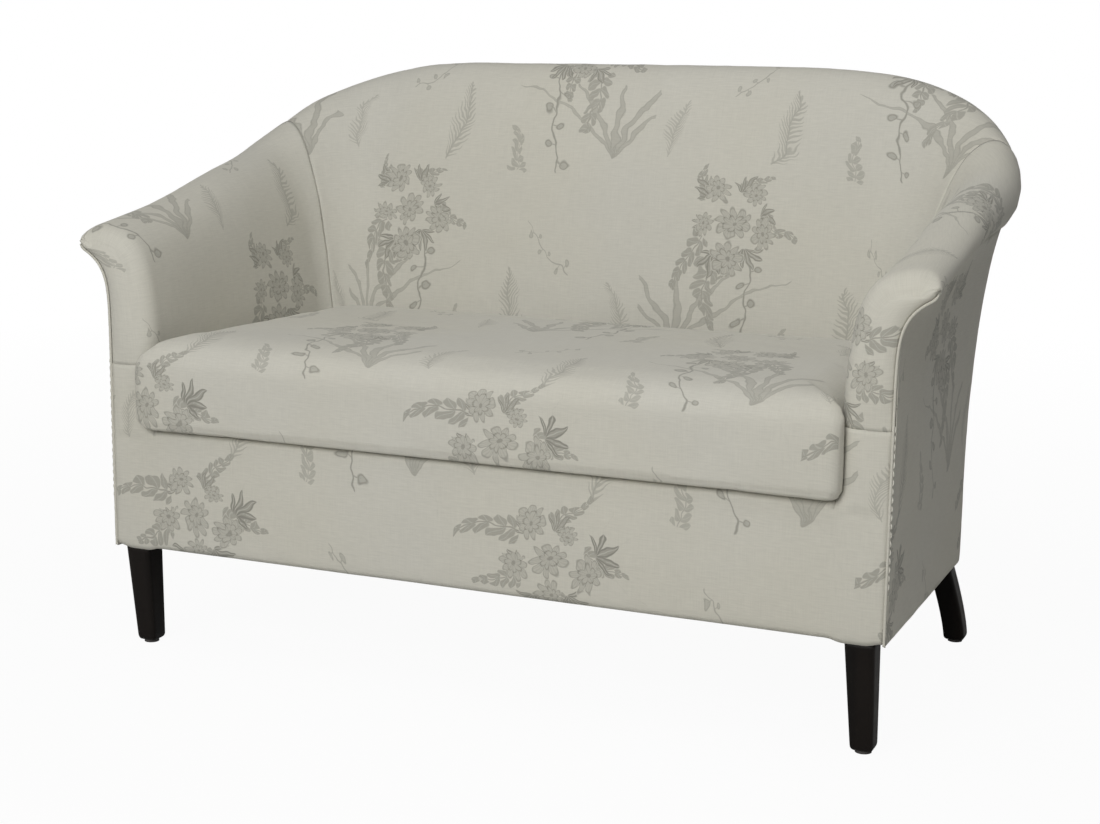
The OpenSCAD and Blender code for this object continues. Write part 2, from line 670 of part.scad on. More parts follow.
// Front border: one piece across the seat front and the feet of both arm fronts
module border_ear() {
    x_in = half_w - arm_wall;
    ear_h = front_z - fit - border_z;
    translate([0, 0, border_z]) linear_extrude(ear_h) {
        translate([x_in + edge_r, 0]) square([arm_wall - edge_r - piping_gap, cover_t]);
        translate([x_in + edge_r, edge_r]) difference() {
            intersection() {
                circle(edge_r, $fn = 96);
                translate([-edge_r, -edge_r]) square(edge_r);
            }
            circle(edge_r - cover_t, $fn = 96);
        }
    }
}
module front_border_cover() {
    plate_half = half_w - piping_gap;
    color(linen) in_frame() {
        translate([-plate_half, 0, base_z]) cube([2 * plate_half, cover_t, border_z - base_z]);
        across(between_arms) {
            translate([border_r, border_z]) difference() {
                intersection() {
                    circle(border_r, $fn = 48);
                    translate([-border_r, 0]) square(border_r);
                }
                circle(border_r - cover_t, $fn = 48);
            }
            translate([border_r, deck_z - cover_t]) square([flange_y - border_r, cover_t]);
        }
        border_ear();
        mirror([1, 0, 0]) border_ear();
    }
}
module bolt_spots() {
    for (s = [-1, 1], p = [front_bolt, rear_bolt]) translate([s * p.x, p.y, 0]) children();
}
module dust_cover() {
    start = layer_gap / way;
    line = [for (v = ways(start, 2 - start)) let (q = at(v, [-layer_gap - 1, 0])) [q.x, q.y]];
    color(lining) in_frame() difference() {
        translate([0, 0, base_z]) linear_extrude(dust_t) polygon(line);
        bolt_spots() translate([0, 0, base_z - 1]) cylinder(d = bolt_d + 2 * fit, h = dust_t + 2, $fn = 32);
    }
}
// Piping on the outer edge of the arm fronts, from the foot to the tip of the scroll
module arm_piping(s) {
    cut = section(0);
    color(linen) on_side(s) loft([for (i = [tip_row - 1 : -1 : 0])
        let (u = unit(cut[i + 1] - cut[max(i - 1, 0)]), out = [u.y, -u.x] * piping_d / 2)
        [for (k = [0 : 7]) let (a = 45 * k, q = cut[i] + out * cos(a))
            [half_w + q.x, sin(a) * piping_d / 2, q.y]]]);
}

// Legs
// Square loop with chamfered corners: side signs, then the direction of the chamfer
leg_corners = [
    [-1, -1, 1, 0], [1, -1, -1, 0], [1, -1, 0, 1], [1, 1, 0, -1],
    [1, 1, -1, 0], [-1, 1, 1, 0], [-1, 1, 0, -1], [-1, -1, 0, 1]];
leg_chamfer = 5;
function leg_loop(c, w, z) =
    [for (q = leg_corners)
        [c.x + q[0] * w / 2 + q[2] * leg_chamfer, c.y + q[1] * w / 2 + q[3] * leg_chamfer, z]];
module bolt_hole(p) {
    translate([p.x, p.y, base_z - bolt_in_leg - fit])
        cylinder(d = bolt_d + 2 * fit, h = bolt_in_leg + 2, $fn = 32);
}
toe_r = 6;
front_foot = front_bolt + [3, front_rake];
rear_foot = rear_bolt + [rear_splay, rear_rake];
module front_leg(s) {
    color(wenge) on_side(s) difference() {
        loft([
            leg_loop(front_bolt, front_leg_top, base_z),
            leg_loop(front_foot, front_leg_foot, glide_h + toe_r),
            leg_loop(front_foot, front_leg_foot - 1.2 * toe_r, glide_h)]);
        bolt_hole(front_bolt);
    }
}
module rear_leg(s) {
    n = 6;
    color(wenge) on_side(s) difference() {
        loft(concat(
            [for (k = [n : -1 : 0]) let (u = k / n, z = mix(glide_h + toe_r, base_z, u))
                leg_loop(mix(rear_foot, rear_bolt, u ^ 1.3), mix(rear_leg_foot, rear_leg_top, u), z)],
            [leg_loop(rear_foot, rear_leg_foot - 1.2 * toe_r, glide_h)]));
        bolt_hole(rear_bolt);
    }
}
bolt_in_frame = insert_h - 3;
module leg_bolts() {
    color(steel) in_frame() bolt_spots() translate([0, 0, base_z - bolt_in_leg])
        cylinder(d = bolt_d, h = bolt_in_leg + frame_z - base_z + bolt_in_frame, $fn = 32);
}
module leg_inserts() {
    color(steel) in_frame() bolt_spots() translate([0, 0, frame_z]) difference() {
        cylinder(d = insert_d, h = insert_h, $fn = 48);
        translate([0, 0, -1]) cylinder(d = bolt_d + 2 * fit, h = insert_h - 1, $fn = 32);
    }
}
module glides() {
    color(lining) in_frame() for (s = [-1, 1], p = [front_foot, rear_foot]) translate([s * p.x, p.y, 0])
        cylinder(d = glide_d, h = glide_h, $fn = 48);
}

// Cushion: a plan loop set in level by level, with a slot for the zip in the rear border
cushion_z = deck_z + fit;
zip_z = cushion_z + cushion_h * 0.36;
zip_recess = 6;
cushion_lead = edge_r + 6;
function cushion_side(v) = let (q = at(v, [-wall_at(half_way(v)) - cushion_gap, 0])) [q.x, q.y];
cushion_back_x = [corner_centre.x, zip_w / 2, zip_w / 4, 0];
cushion_half = concat(
    [for (k = [0 : 2]) cushion_side(mix(cushion_lead / way, arm_end, k / 2))],
    [for (k = [1 : 5]) cushion_side(mix(arm_end, corner_end, k / 6))],
    [for (x = cushion_back_x) cushion_side(1 - x / way)]);
cushion_x = half_w - arm_wall - cushion_gap;
lip_x = cushion_x + cushion_lip;
lip = [
    [cushion_x + 1.5, edge_r * 0.6], [mix(cushion_x, lip_x, 0.55), edge_r * 0.12], [lip_x - 1, -4],
    [lip_x, -cushion_proud * 0.5], [lip_x - 5, -cushion_proud * 0.87], [lip_x - 16, -cushion_proud]];
front_n = 8;
front_line = [for (k = [1 : front_n - 1]) let (u = k / front_n)
    [mix(-(lip_x - 16), lip_x - 16, u), -cushion_proud + draw_in * sin(180 * u)]];
function flip(list) = [for (k = [len(list) - 1 : -1 : 0]) [-list[k].x, list[k].y]];
half_count = len(cushion_half);
cushion_loop = concat(
    [for (k = [len(lip) - 1 : -1 : 0]) lip[k]],
    cushion_half,
    flip([for (k = [0 : half_count - 2]) cushion_half[k]]),
    [for (q = lip) [-q.x, q.y]],
    front_line);
loop_n = len(cushion_loop);
zip_first = len(lip) + half_count - 3;
zip_last = zip_first + 4;
function loop_dir(k) = unit(cushion_loop[(k + 1) % loop_n] - cushion_loop[(k + loop_n - 1) % loop_n]);
// Levels from the bottom: height, inset, and how far the zip's recess counts
top_z = cushion_z + cushion_h;
levels = [
    [cushion_z, 14, 0],
    [cushion_z + 3, 4, 0],
    [cushion_z + 16, 0, 0.3],
    [zip_z, 0, 1],
    [zip_z + zip_h, 0.5, 1],
    [top_z - 30, 3, 0.3],
    [top_z - 10, 12, 0],
    [top_z, 30, 0]];
level_n = len(levels);
function level_point(k, l, d) =
    let (
        u = loop_dir(k),
        rear = k >= zip_first && k <= zip_last ? 1 : 0,
        e = rear * zip_recess * levels[l][2] + d,
        z = levels[l][0],
        zd = l == 0 ? z + d : l == level_n - 1 ? z - d : z,
        q = drawn(cushion_loop[k], levels[l][1]) + e * [-u.y, u.x]
    )
    [q.x, q.y, zd];
cushion_mid = [0, (tub_d - back_wall - cushion_proud) / 2];
cushion_reach = [lip_x, (tub_d - back_wall + cushion_proud) / 2];
// A point of the loop drawn in by e on each side
function drawn(q, e) = cushion_mid + [
    (q.x - cushion_mid.x) * (1 - e / cushion_reach.x), (q.y - cushion_mid.y) * (1 - e / cushion_reach.y)];
function shrunk(k, s, z) = let (q = mix(cushion_mid, cushion_loop[k], s)) [q.x, q.y, z];
top_shares = [0.82, 0.55, 0.28, 0.02];
function cushion_grid(d) = concat(
    [for (s = [0.02, 0.55]) [for (k = [0 : loop_n - 1]) shrunk(k, s, cushion_z + d)]],
    [for (l = [0 : level_n - 1]) [for (k = [0 : loop_n - 1]) level_point(k, l, d)]],
    [for (s = top_shares) [for (k = [0 : loop_n - 1]) shrunk(k, s, top_z + crown * (1 - s ^ 2.4) - d)]]);
slot_level = 5;
module cushion_cover() {
    outer = cushion_grid(0);
    inner = cushion_grid(cover_t);
    m = len(outer);
    n = loop_n;
    id = function (l, k) l * n + k % n;
    open = function (l, k) l == slot_level && k >= zip_first && k < zip_last;
    faces = concat(
        [[for (k = [0 : n - 1]) id(0, k)]],
        [for (l = [0 : m - 2]) for (k = [0 : n - 1])
            if (!open(l, k)) each quad(id(l, k), id(l + 1, k), id(l + 1, k + 1), id(l, k + 1))],
        [[for (k = [n - 1 : -1 : 0]) id(m - 1, k)]]);
    slot = concat(
        [for (k = [zip_first : zip_last]) id(slot_level, k)],
        [for (k = [zip_last : -1 : zip_first]) id(slot_level + 1, k)]);
    color(linen) in_frame() layered(flat(outer), flat(inner), faces, [slot]);
}
// Foam block inside the cushion
core_gap = 20;
core_h = cushion_h - 22;
function core_side(v) = let (q = at(v, [-wall_at(half_way(v)) - cushion_gap - core_gap, 0])) [q.x, q.y];
module cushion_core() {
    half = concat(
        [[cushion_x - core_gap, core_gap - cushion_proud + draw_in]],
        [for (v = ways(0.06, 1)) core_side(v)]);
    line = concat(half, flip([for (k = [0 : len(half) - 2]) half[k]]));
    color(foam_colour) in_frame() translate([0, 0, cushion_z + cover_t + fit])
        linear_extrude(core_h) polygon(line);
}
zip_y = cushion_side(1).y - zip_recess - 1;
tape_t = 1;
chain_w = 5;
chain_t = 1.4;
module cushion_zip() {
    color(lining) in_frame() translate([-zip_w / 2 + 1, zip_y - cover_t, 0]) {
        translate([0, 0, zip_z + fit]) cube([zip_w - 2, tape_t, zip_h - 2 * fit]);
        translate([0, 0, zip_z + zip_h / 2 - chain_w / 2]) cube([zip_w - 2, tape_t + chain_t, chain_w]);
    }
}
slider_w = 12;
slider_h = 9;
slider_t = 1.2;
module zip_slider() {
    y0 = zip_y - cover_t + tape_t + fit;
    mid_z = zip_z + zip_h / 2;
    color(steel) in_frame() translate([zip_w / 2 - 10 - slider_w, y0, 0]) {
        difference() {
            translate([0, 0, mid_z - slider_h / 2]) cube([slider_w, chain_t + slider_t, slider_h]);
            translate([-1, -1, mid_z - chain_w / 2 - fit])
                cube([slider_w + 2, chain_t + 1, chain_w + 2 * fit]);
        }
        translate([slider_w / 2 - 2.5, chain_t + slider_t, mid_z - 12]) cube([5, 0.8, 14]);
    }
}

front_seat_rail();
back_seat_rail();
side_seat_rail(-1);  // side_seat_rail_left
side_seat_rail(1);  // side_seat_rail_right
corner_rail(-1);  // corner_rail_left
corner_rail(1);  // corner_rail_right
seat_stretcher();
corner_braces();
front_post(-1);  // front_post_left
front_post(1);  // front_post_right
arm_rib(-1);  // arm_rib_left
arm_rib(1);  // arm_rib_right
corner_rib(-1);  // corner_rib_left
corner_rib(1);  // corner_rib_right
back_rib(-1);  // back_rib_left
back_rib(0);  // back_rib_centre
back_rib(1);  // back_rib_right
arm_rail(-1);  // arm_rail_left
arm_rail(1);  // arm_rail_right
crest_rail();
arm_board(-1);  // arm_board_left
arm_board(1);  // arm_board_right
back_board();
seat_springs();
spring_clips();
seat_pad();
arm_foam(-1);  // arm_foam_left
arm_foam(1);  // arm_foam_right
back_foam();
arm_front_pad(-1);  // arm_front_pad_left
arm_front_pad(1);  // arm_front_pad_right
front_border_pad();
inside_arm_cover(-1);  // inside_arm_cover_left
inside_arm_cover(1);  // inside_arm_cover_right
inside_back_cover();
outside_arm_cover(-1);  // outside_arm_cover_left
outside_arm_cover(1);  // outside_arm_cover_right
outside_back_cover();
front_border_cover();
dust_cover();
arm_piping(-1);  // arm_piping_left
arm_piping(1);  // arm_piping_right
front_leg(-1);  // front_leg_left
front_leg(1);  // front_leg_right
rear_leg(-1);  // rear_leg_left
rear_leg(1);  // rear_leg_right
leg_bolts();
leg_inserts();
glides();
cushion_cover();
cushion_core();
cushion_zip();
zip_slider();
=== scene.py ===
# %% [markdown]
# # A tub loveseat in printed linen
# The real piece is an upholstered two-seat tub: one wall of frame and foam runs round three sides,
# its rim rolls outwards and climbs from the arms to the back, and a loose bench cushion lies in it.
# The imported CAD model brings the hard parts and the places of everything. Here each cover is made
# again as a fine surface worked out with numpy, because cloth shows its seams, pulls and fullness.

# %% The frame that everything is built around
import math

import bmesh
import bpy
import numpy as np
from mathutils import Matrix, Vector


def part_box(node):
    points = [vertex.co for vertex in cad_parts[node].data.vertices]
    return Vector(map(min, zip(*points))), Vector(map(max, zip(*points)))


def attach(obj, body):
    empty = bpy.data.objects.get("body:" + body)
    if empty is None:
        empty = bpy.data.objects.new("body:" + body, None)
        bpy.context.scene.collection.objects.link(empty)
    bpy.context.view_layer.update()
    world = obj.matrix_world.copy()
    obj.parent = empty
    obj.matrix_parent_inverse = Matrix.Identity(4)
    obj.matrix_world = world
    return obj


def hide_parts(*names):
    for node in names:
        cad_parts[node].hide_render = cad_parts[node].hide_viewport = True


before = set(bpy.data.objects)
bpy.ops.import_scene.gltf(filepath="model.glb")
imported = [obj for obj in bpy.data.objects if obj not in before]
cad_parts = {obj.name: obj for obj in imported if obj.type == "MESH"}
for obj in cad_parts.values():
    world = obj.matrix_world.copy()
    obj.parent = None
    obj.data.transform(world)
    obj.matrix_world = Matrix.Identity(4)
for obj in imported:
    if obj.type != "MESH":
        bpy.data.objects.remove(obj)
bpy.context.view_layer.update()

# %% [markdown]
# ## Camera
# The photograph was taken from the right of the sofa, a little above the seat. The camera stands
# there with the same focal length and a slight roll. It comes first, so that each later piece can
# be judged from it.

# %% Camera at the photograph's place
MM = 0.001
FRONT_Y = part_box("front_border_cover")[0].y / MM    # plane of the arm fronts
IMAGE_W, IMAGE_H = 1100, 824
AROUND, DOWN, ROLL = math.radians(23.55), math.radians(10.607), math.radians(0.584)
FOCAL_PX = 1908.33
PRINCIPAL = (541.7, 407.56)
CAMERA_PLACE = (1.1056, -2.6167, 0.8903)
SENSOR_W = 36


def camera_axes(around, down, roll):
    """Right, up and backward directions: turned about Z, tilted down, then rolled."""
    right = np.array([math.cos(around), math.sin(around), 0.0])
    ahead = np.array([-math.sin(around) * math.cos(down), math.cos(around) * math.cos(down),
                      -math.sin(down)])
    up = np.cross(right, ahead)
    c, s = math.cos(roll), math.sin(roll)
    return c * right + s * up, c * up - s * right, -ahead


def placed_matrix(axes, place):
    """Matrix whose columns are an object's right, up and backward directions, and its place."""
    turn = np.eye(4)
    turn[:3, :3] = np.array(axes).T
    turn[:3, 3] = place
    return Matrix(turn.tolist())


camera_data = bpy.data.cameras.new("photo_camera")
camera_data.sensor_width = SENSOR_W
camera_data.lens = FOCAL_PX / IMAGE_W * SENSOR_W
camera_data.shift_x = 0.5 - PRINCIPAL[0] / IMAGE_W
camera_data.shift_y = (PRINCIPAL[1] - IMAGE_H / 2) / IMAGE_W
camera = bpy.data.objects.new("photo_camera", camera_data)
bpy.context.scene.collection.objects.link(camera)
bpy.context.scene.camera = camera
camera.matrix_world = placed_matrix(camera_axes(AROUND, DOWN, ROLL), CAMERA_PLACE)
print("lens", round(camera_data.lens, 2), "mm")

# %% [markdown]
# ## Meshes from arrays
# Every new surface is a grid of points. One function puts arrays into a mesh, one lists the quads
# of a grid, and one closes an outer and an inner layer into a solid along all its free edges, so
# that each cover is a real padded body and not a paper-thin skin.

# %% From arrays to objects
def grid_quads(rows, cols):
    """Four corners of every cell of a rows by cols grid, turning from the columns to the rows."""
    i = np.arange(rows * cols).reshape(rows, cols)
    return np.stack([i[:-1, :-1], i[:-1, 1:], i[1:, 1:], i[1:, :-1]], -1).reshape(-1, 4)


def joined(grids, turned=()):
    """Grids one after another as one list of points and one of quads; some may be turned round."""
    quads, start = [], 0
    for number, grid in enumerate(grids):
        cells = grid_quads(*grid.shape[:2]) + start
        quads.append(cells[:, ::-1] if number in turned else cells)
        start += grid.shape[0] * grid.shape[1]
    return np.vstack([grid.reshape(-1, grid.shape[-1]) for grid in grids]), np.vstack(quads)


def welded(points, quads, near=0.02):
    """Points closer than `near` millimetres become one; returns the kept indices and the quads."""
    key = np.round(points / near).astype(np.int64)
    _, first, number = np.unique(key, axis=0, return_index=True, return_inverse=True)
    return first, number.reshape(-1)[quads]


def free_edges(quads, count):
    """Directed edges that no other face runs back along: the rims of an open surface."""
    a = quads.reshape(-1)
    b = np.roll(quads, -1, axis=1).reshape(-1)
    keep = a != b
    a, b = a[keep], b[keep]
    free = ~np.isin(a * count + b, b * count + a)
    return a[free], b[free]


def closed(outer, inner, quads):
    """Outer layer, inner layer turned round, and a strip of quads along every free edge."""
    n = len(outer)
    a, b = free_edges(quads, n)
    strip = np.stack([b, a, a + n, b + n], -1)
    return np.vstack([outer, inner]), np.vstack([quads, quads[:, ::-1] + n, strip])


def new_piece(name, points, quads, uv, material, body="sofa"):
    """Mesh object from millimetre points, quads and a millimetre cloth map, riding on a body."""
    mesh = bpy.data.meshes.new(name)
    mesh.vertices.add(len(points))
    mesh.vertices.foreach_set("co", (points * MM).astype(np.float32).ravel())
    mesh.loops.add(quads.size)
    mesh.loops.foreach_set("vertex_index", quads.astype(np.int32).ravel())
    mesh.polygons.add(len(quads))
    mesh.polygons.foreach_set("loop_start", (np.arange(len(quads)) * 4).astype(np.int32))
    mesh.polygons.foreach_set("use_smooth", np.ones(len(quads), bool))
    layer = mesh.uv_layers.new(name="cloth")
    layer.data.foreach_set("uv", (uv[quads.ravel()] * MM).astype(np.float32).ravel())
    mesh.update()
    mesh.validate()
    piece = bpy.data.objects.new(name, mesh)
    bpy.context.scene.collection.objects.link(piece)
    mesh.materials.append(material)
    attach(piece, body)
    print(f"{name}: {len(points)} points, {len(quads)} faces")
    return piece


def mirrored(points, quads):
    """The same surface on the other side: X turned over, and the faces with it."""
    return points * np.array([-1.0, 1.0, 1.0]), quads[:, ::-1]


# %% [markdown]
# ## Node arithmetic
# The print, the weave and the wood grain are formulas of place. A small class lets such a formula
# be written as ordinary arithmetic; each operation adds one Math node to the group it belongs to.

# %% Formulas as nodes
class Field:
    """A number that changes over a surface: a socket that understands + - * /."""

    def __init__(self, tree, socket):
        self.tree, self.socket = tree, socket

    def op(self, name, *others):
        """One Math node with this field first; the others are fields or numbers."""
        node = self.tree.nodes.new("ShaderNodeMath")
        node.operation = name
        for place, value in zip(node.inputs, (self,) + others):
            if isinstance(value, Field):
                self.tree.links.new(value.socket, place)
            else:
                place.default_value = value
        return Field(self.tree, node.outputs[0])

    def turned(self, name, first):
        """One Math node with a plain number first and this field second."""
        node = self.tree.nodes.new("ShaderNodeMath")
        node.operation = name
        node.inputs[0].default_value = first
        self.tree.links.new(self.socket, node.inputs[1])
        return Field(self.tree, node.outputs[0])

    def __add__(self, other): return self.op("ADD", other)
    def __sub__(self, other): return self.op("SUBTRACT", other)
    def __mul__(self, other): return self.op("MULTIPLY", other)
    def __truediv__(self, other): return self.op("DIVIDE", other)
    __radd__, __rmul__ = __add__, __mul__
    def __rsub__(self, other): return self.turned("SUBTRACT", other)
    def abs(self): return self.op("ABSOLUTE")
    def sin(self): return self.op("SINE")
    def cos(self): return self.op("COSINE")
    def floor(self): return self.op("FLOOR")
    def fract(self): return self.op("FRACT")
    def sqrt(self): return self.op("SQRT")
    def power(self, n): return self.op("POWER", n)
    def least(self, other): return self.op("MINIMUM", other)
    def most(self, other): return self.op("MAXIMUM", other)
    def angle(self, x): return self.op("ARCTAN2", x)

    def below(self, edge, soft):
        """1 where the field is under the edge, 0 over it, with a soft border."""
        node = self.tree.nodes.new("ShaderNodeMapRange")
        node.interpolation_type = "SMOOTHSTEP"
        self.tree.links.new(self.socket, node.inputs[0])
        for place, value in zip(node.inputs[1:5], (edge - soft, edge + soft, 1.0, 0.0)):
            place.default_value = value
        return Field(self.tree, node.outputs[0])


def new_group(name, inputs, outputs):
    """Empty node group; returns it, its input fields by name and a function that sets an output."""
    tree = bpy.data.node_groups.new(name, "ShaderNodeTree")
    kinds = {"vector": "NodeSocketVector", "number": "NodeSocketFloat"}
    for label, kind in inputs:
        tree.interface.new_socket(name=label, in_out="INPUT", socket_type=kinds[kind])
    for label, kind in outputs:
        tree.interface.new_socket(name=label, in_out="OUTPUT", socket_type=kinds[kind])
    start, end = tree.nodes.new("NodeGroupInput"), tree.nodes.new("NodeGroupOutput")
    fields = {label: Field(tree, start.outputs[label]) for label, _ in inputs}

    def give(label, value):
        tree.links.new(value.socket, end.inputs[label])
    return tree, fields, give


def use_group(tree, group, **values):
    """Places a group in a tree; values are fields or numbers; returns its outputs as fields."""
    node = tree.nodes.new("ShaderNodeGroup")
    node.node_tree = group
    for label, value in values.items():
        if isinstance(value, Field):
            tree.links.new(value.socket, node.inputs[label])
        else:
            node.inputs[label].default_value = value
    return {out.name: Field(tree, out) for out in node.outputs}


def noise(tree, where, scale, detail=2.0, stretch=None, rough=0.5):
    """Noise of about 0 to 1; stretch multiplies the coordinates axis by axis first."""
    if stretch is not None:
        node = tree.nodes.new("ShaderNodeVectorMath")
        node.operation = "MULTIPLY"
        tree.links.new(where, node.inputs[0])
        node.inputs[1].default_value = stretch
        where = node.outputs[0]
    made = tree.nodes.new("ShaderNodeTexNoise")
    tree.links.new(where, made.inputs["Vector"])
    made.inputs["Scale"].default_value = scale
    made.inputs["Detail"].default_value = detail
    made.inputs["Roughness"].default_value = rough
    return Field(tree, made.outputs["Fac"])


def split(tree, vector):
    """The three numbers of a vector or colour, as fields."""
    node = tree.nodes.new("ShaderNodeSeparateXYZ")
    tree.links.new(vector, node.inputs[0])
    return [Field(tree, out) for out in node.outputs]


def blended(tree, share, first, second):
    """Colour mixed from first to second by a field; each is an RGB triple or a colour field."""
    node = tree.nodes.new("ShaderNodeMix")
    node.data_type = "RGBA"
    tree.links.new(share.socket, node.inputs["Factor"])
    for label, value in (("A", first), ("B", second)):
        place = [s for s in node.inputs if s.name == label and s.type == "RGBA"][0]
        if isinstance(value, Field):
            tree.links.new(value.socket, place)
        else:
            place.default_value = (*value, 1.0)
    return Field(tree, [s for s in node.outputs if s.type == "RGBA"][0])


# %% [markdown]
# ## Motifs of the print
# The cloth has a botanical print in one taupe ink. It is drawn here from plain garden forms: open
# dahlias, fans of leaves, sprays, fern fronds, berries and tufts of long leaves. Each is a formula
# in its own unit square, where a sprig starts at 0 and ends at 1 along X. A sprig is bent by
# bending the coordinates before they reach it.

# %% Six motifs, one group each
def motif(name, draw):
    """Group that turns a place X, Y and a bend into ink from 0 to 1."""
    tree, at, give = new_group(name, [("X", "number"), ("Y", "number"), ("Bend", "number")],
                               [("Ink", "number")])
    give("Ink", draw(at["X"], at["Y"], at["Bend"]))
    return tree


def on_stem(x):
    """1 along the stem's length from 0 to 1."""
    return (x - 0.5).abs().below(0.5, 0.01)


def dahlia(x, y, turn):
    """Two rings of petals: each rim is a power of |cos| of the angle; hatching runs outwards."""
    far = (x * x + y * y).sqrt()
    a = y.angle(x)
    wave = (a * 4.5 + turn).cos().abs()
    share = far / (wave.power(0.8) * 0.42 + 0.58)
    second = (a * 3.5 + turn * 2.0).cos().abs()
    inner = far / (second.power(0.8) * 0.24 + 0.34)
    ink = share.below(1.0, 0.06) * 0.26 + (share - 0.94).abs().below(0.05, 0.04) * 0.4
    ink = ink + wave.below(0.2, 0.12) * share.below(0.95, 0.05) * 0.3
    ink = ink + (a * 40.0).cos().below(-0.3, 0.4) * share.below(0.9, 0.05) * 0.16
    return (ink + (inner - 0.93).abs().below(0.08, 0.05) * 0.4 + far.below(0.14, 0.03) * 0.4).least(1.0)


def leaf_fan(x, y, shade):
    """Five pointed leaves from one point: the angle is folded every 0.62 radians."""
    far = (x * x + y * y).sqrt()
    a = y.angle(x)
    number = (a / 0.62 + 0.5).floor().most(-2.0).least(2.0)
    a = a - number * 0.62
    reach, side = far * a.cos(), (far * a.sin()).abs()
    length = 1.0 - number.abs() * 0.14
    width = (reach * (length - reach)).most(0.0).power(0.75) * 0.36
    leaf = (side - width).below(0.0, 0.012) * reach.op("GREATER_THAN", 0.02)
    return leaf * ((side - width + 0.03).abs().below(0.02, 0.015) * 0.3 - side.below(0.012, 0.01) * 0.4
                   + 0.55 + shade * 0.15)


def spray(x, y, bend):
    """Curved stem with pairs of pointed leaves that shorten to the tip; each has a pale vein."""
    h = y - x * x * bend - (x * 9.0).sin() * 0.015
    side = h.abs()
    along = (x * 5.0 - side * 4.2).fract() - 0.5
    reach = side / ((1.06 - x).most(0.0).power(0.5) * 0.24)
    leaf = (along.abs() - reach * (1.0 - reach) * 1.9).below(0.0, 0.05) * reach.below(1.0, 0.02)
    vein = along.abs().below(0.03, 0.03) * 0.35
    return (side.below(0.012, 0.008) * 0.8).most(leaf * (0.72 - vein)) * on_stem(x)


def fern(x, y, bend):
    """Frond: fine slanted leaflets fill a lens round the stem."""
    side = (y - x * x * bend).abs()
    reach = side / ((x * (1.0 - x)).most(0.0).power(0.7) * 0.46 + 0.001)
    comb = ((x * 15.0 - side * 17.0).fract() - 0.5).abs()
    leaflet = (comb - (1.0 - reach) * 0.3).below(0.08, 0.06) * reach.below(1.0, 0.05)
    return (side.below(0.01, 0.008) * 0.8).most(leaflet * 0.6) * on_stem(x)


def berries(x, y, bend):
    """Wandering stem with a berry to either side in turn, each a ring round a pale middle."""
    h = y - x * x * bend - (x * 13.0).sin() * 0.02
    turn_side = ((x * 6.0).floor() * math.pi).cos()
    u = ((x * 6.0).fract() - 0.5) / 6.0
    v = h - turn_side * 0.08
    far = (u * u + v * v).sqrt()
    berry = far.below(0.036, 0.006) * 0.45 + (far - 0.034).abs().below(0.008, 0.005) * 0.35
    stalk = (u + v * 0.3).abs().below(0.007, 0.005) * (h * turn_side - 0.04).abs().below(0.04, 0.01)
    return berry.most(stalk * 0.6).most(h.abs().below(0.009, 0.006) * 0.75) * on_stem(x)


def long_leaves(x, y, shade):
    """Tuft of five tapering leaves from one root, each bent by its own amount and outlined."""
    ink = None
    for curve in (-0.95, -0.42, 0.05, 0.5, 1.05):
        side = (y - x * x * curve - x * (curve * 0.35)).abs()
        width = (x * (1.0 - x)).most(0.0).power(0.6) * 0.075 + 0.004
        tone = (side - width).below(0.0, 0.008) * 0.38 + (side - width).abs().below(0.007, 0.005) * 0.3
        ink = tone if ink is None else ink.most(tone)
    return ink * (shade * 0.3 + 1.0) * on_stem(x)


MOTIFS = {shape.__name__: motif(shape.__name__, shape)
          for shape in (dahlia, leaf_fan, spray, fern, berries, long_leaves)}
print("motif groups:", ", ".join(MOTIFS))

# %% [markdown]
# ## The repeat
# A printed cloth repeats. Here columns 280 mm wide repeat every 600 mm. Every second column is
# mirrored and shifted by half a repeat, so the whole repeat is 560 by 600 mm. A cluster stands
# round a centre: flowers, fans of leaves behind them, ferns above, a tuft of long leaves below and
# sprigs that hang beside it. Folding the angle lets one motif draw a whole ring, and a random
# number per sector varies its size and turn.

# %% Print group
REPEAT_W, REPEAT_H = 0.28, 0.60


def chance(tree, seed, shift):
    """Random number from 0 to 1 that belongs to a whole number."""
    node = tree.nodes.new("ShaderNodeTexWhiteNoise")
    node.noise_dimensions = "1D"
    tree.links.new((seed + shift).socket, node.inputs["W"])
    return Field(tree, node.outputs["Value"])


def placed(x, y, cx, cy, turn_by, size):
    """Coordinates of a motif whose root is at cx, cy, turned by an angle and `size` long."""
    dx, dy = x - cx, y - cy
    if isinstance(turn_by, Field):
        c, s = turn_by.cos(), turn_by.sin()
    else:
        c, s = math.cos(turn_by), math.sin(turn_by)
    return (dx * c + dy * s) / size, (dy * c - dx * s) / size


def ring(x, y, count, phase, seed):
    """Folds the plane into `count` sectors: returns X outwards, Y across, and the sector number."""
    far = (x * x + y * y).sqrt()
    a = (y.angle(x) + phase) * (count / (2 * math.pi))
    number = (a + 0.5).floor()
    folded = (a - number) * (2 * math.pi / count)
    wrapped = (number + count * 2.0) * (1.0 / count)
    number = wrapped.fract() * count
    return far * folded.cos(), far * folded.sin(), number + seed


WANDER_SCALE, WANDER = 22.0, 0.034      # how often, per metre, and how far the drawing strays
SPRIGS = (      # motif, root across and up from the middle, turn, length, bend, strength
    ("berries", 0.035, -0.06, -1.45, 0.17, -0.25, 1.0),
    ("spray", -0.03, -0.065, -1.9, 0.095, 0.5, 0.8),
    ("long_leaves", -0.078, -0.215, 1.52, 0.135, 0.0, 1.0),
    ("fern", 0.060, 0.085, 1.0, 0.12, 0.4, 0.7),
    ("fern", -0.112, 0.10, 1.75, 0.085, -0.5, 0.6),
    ("berries", -0.02, 0.20, 0.35, 0.10, 0.5, 0.75),
    ("spray", 0.095, -0.235, 1.9, 0.07, -0.4, 0.65),
)


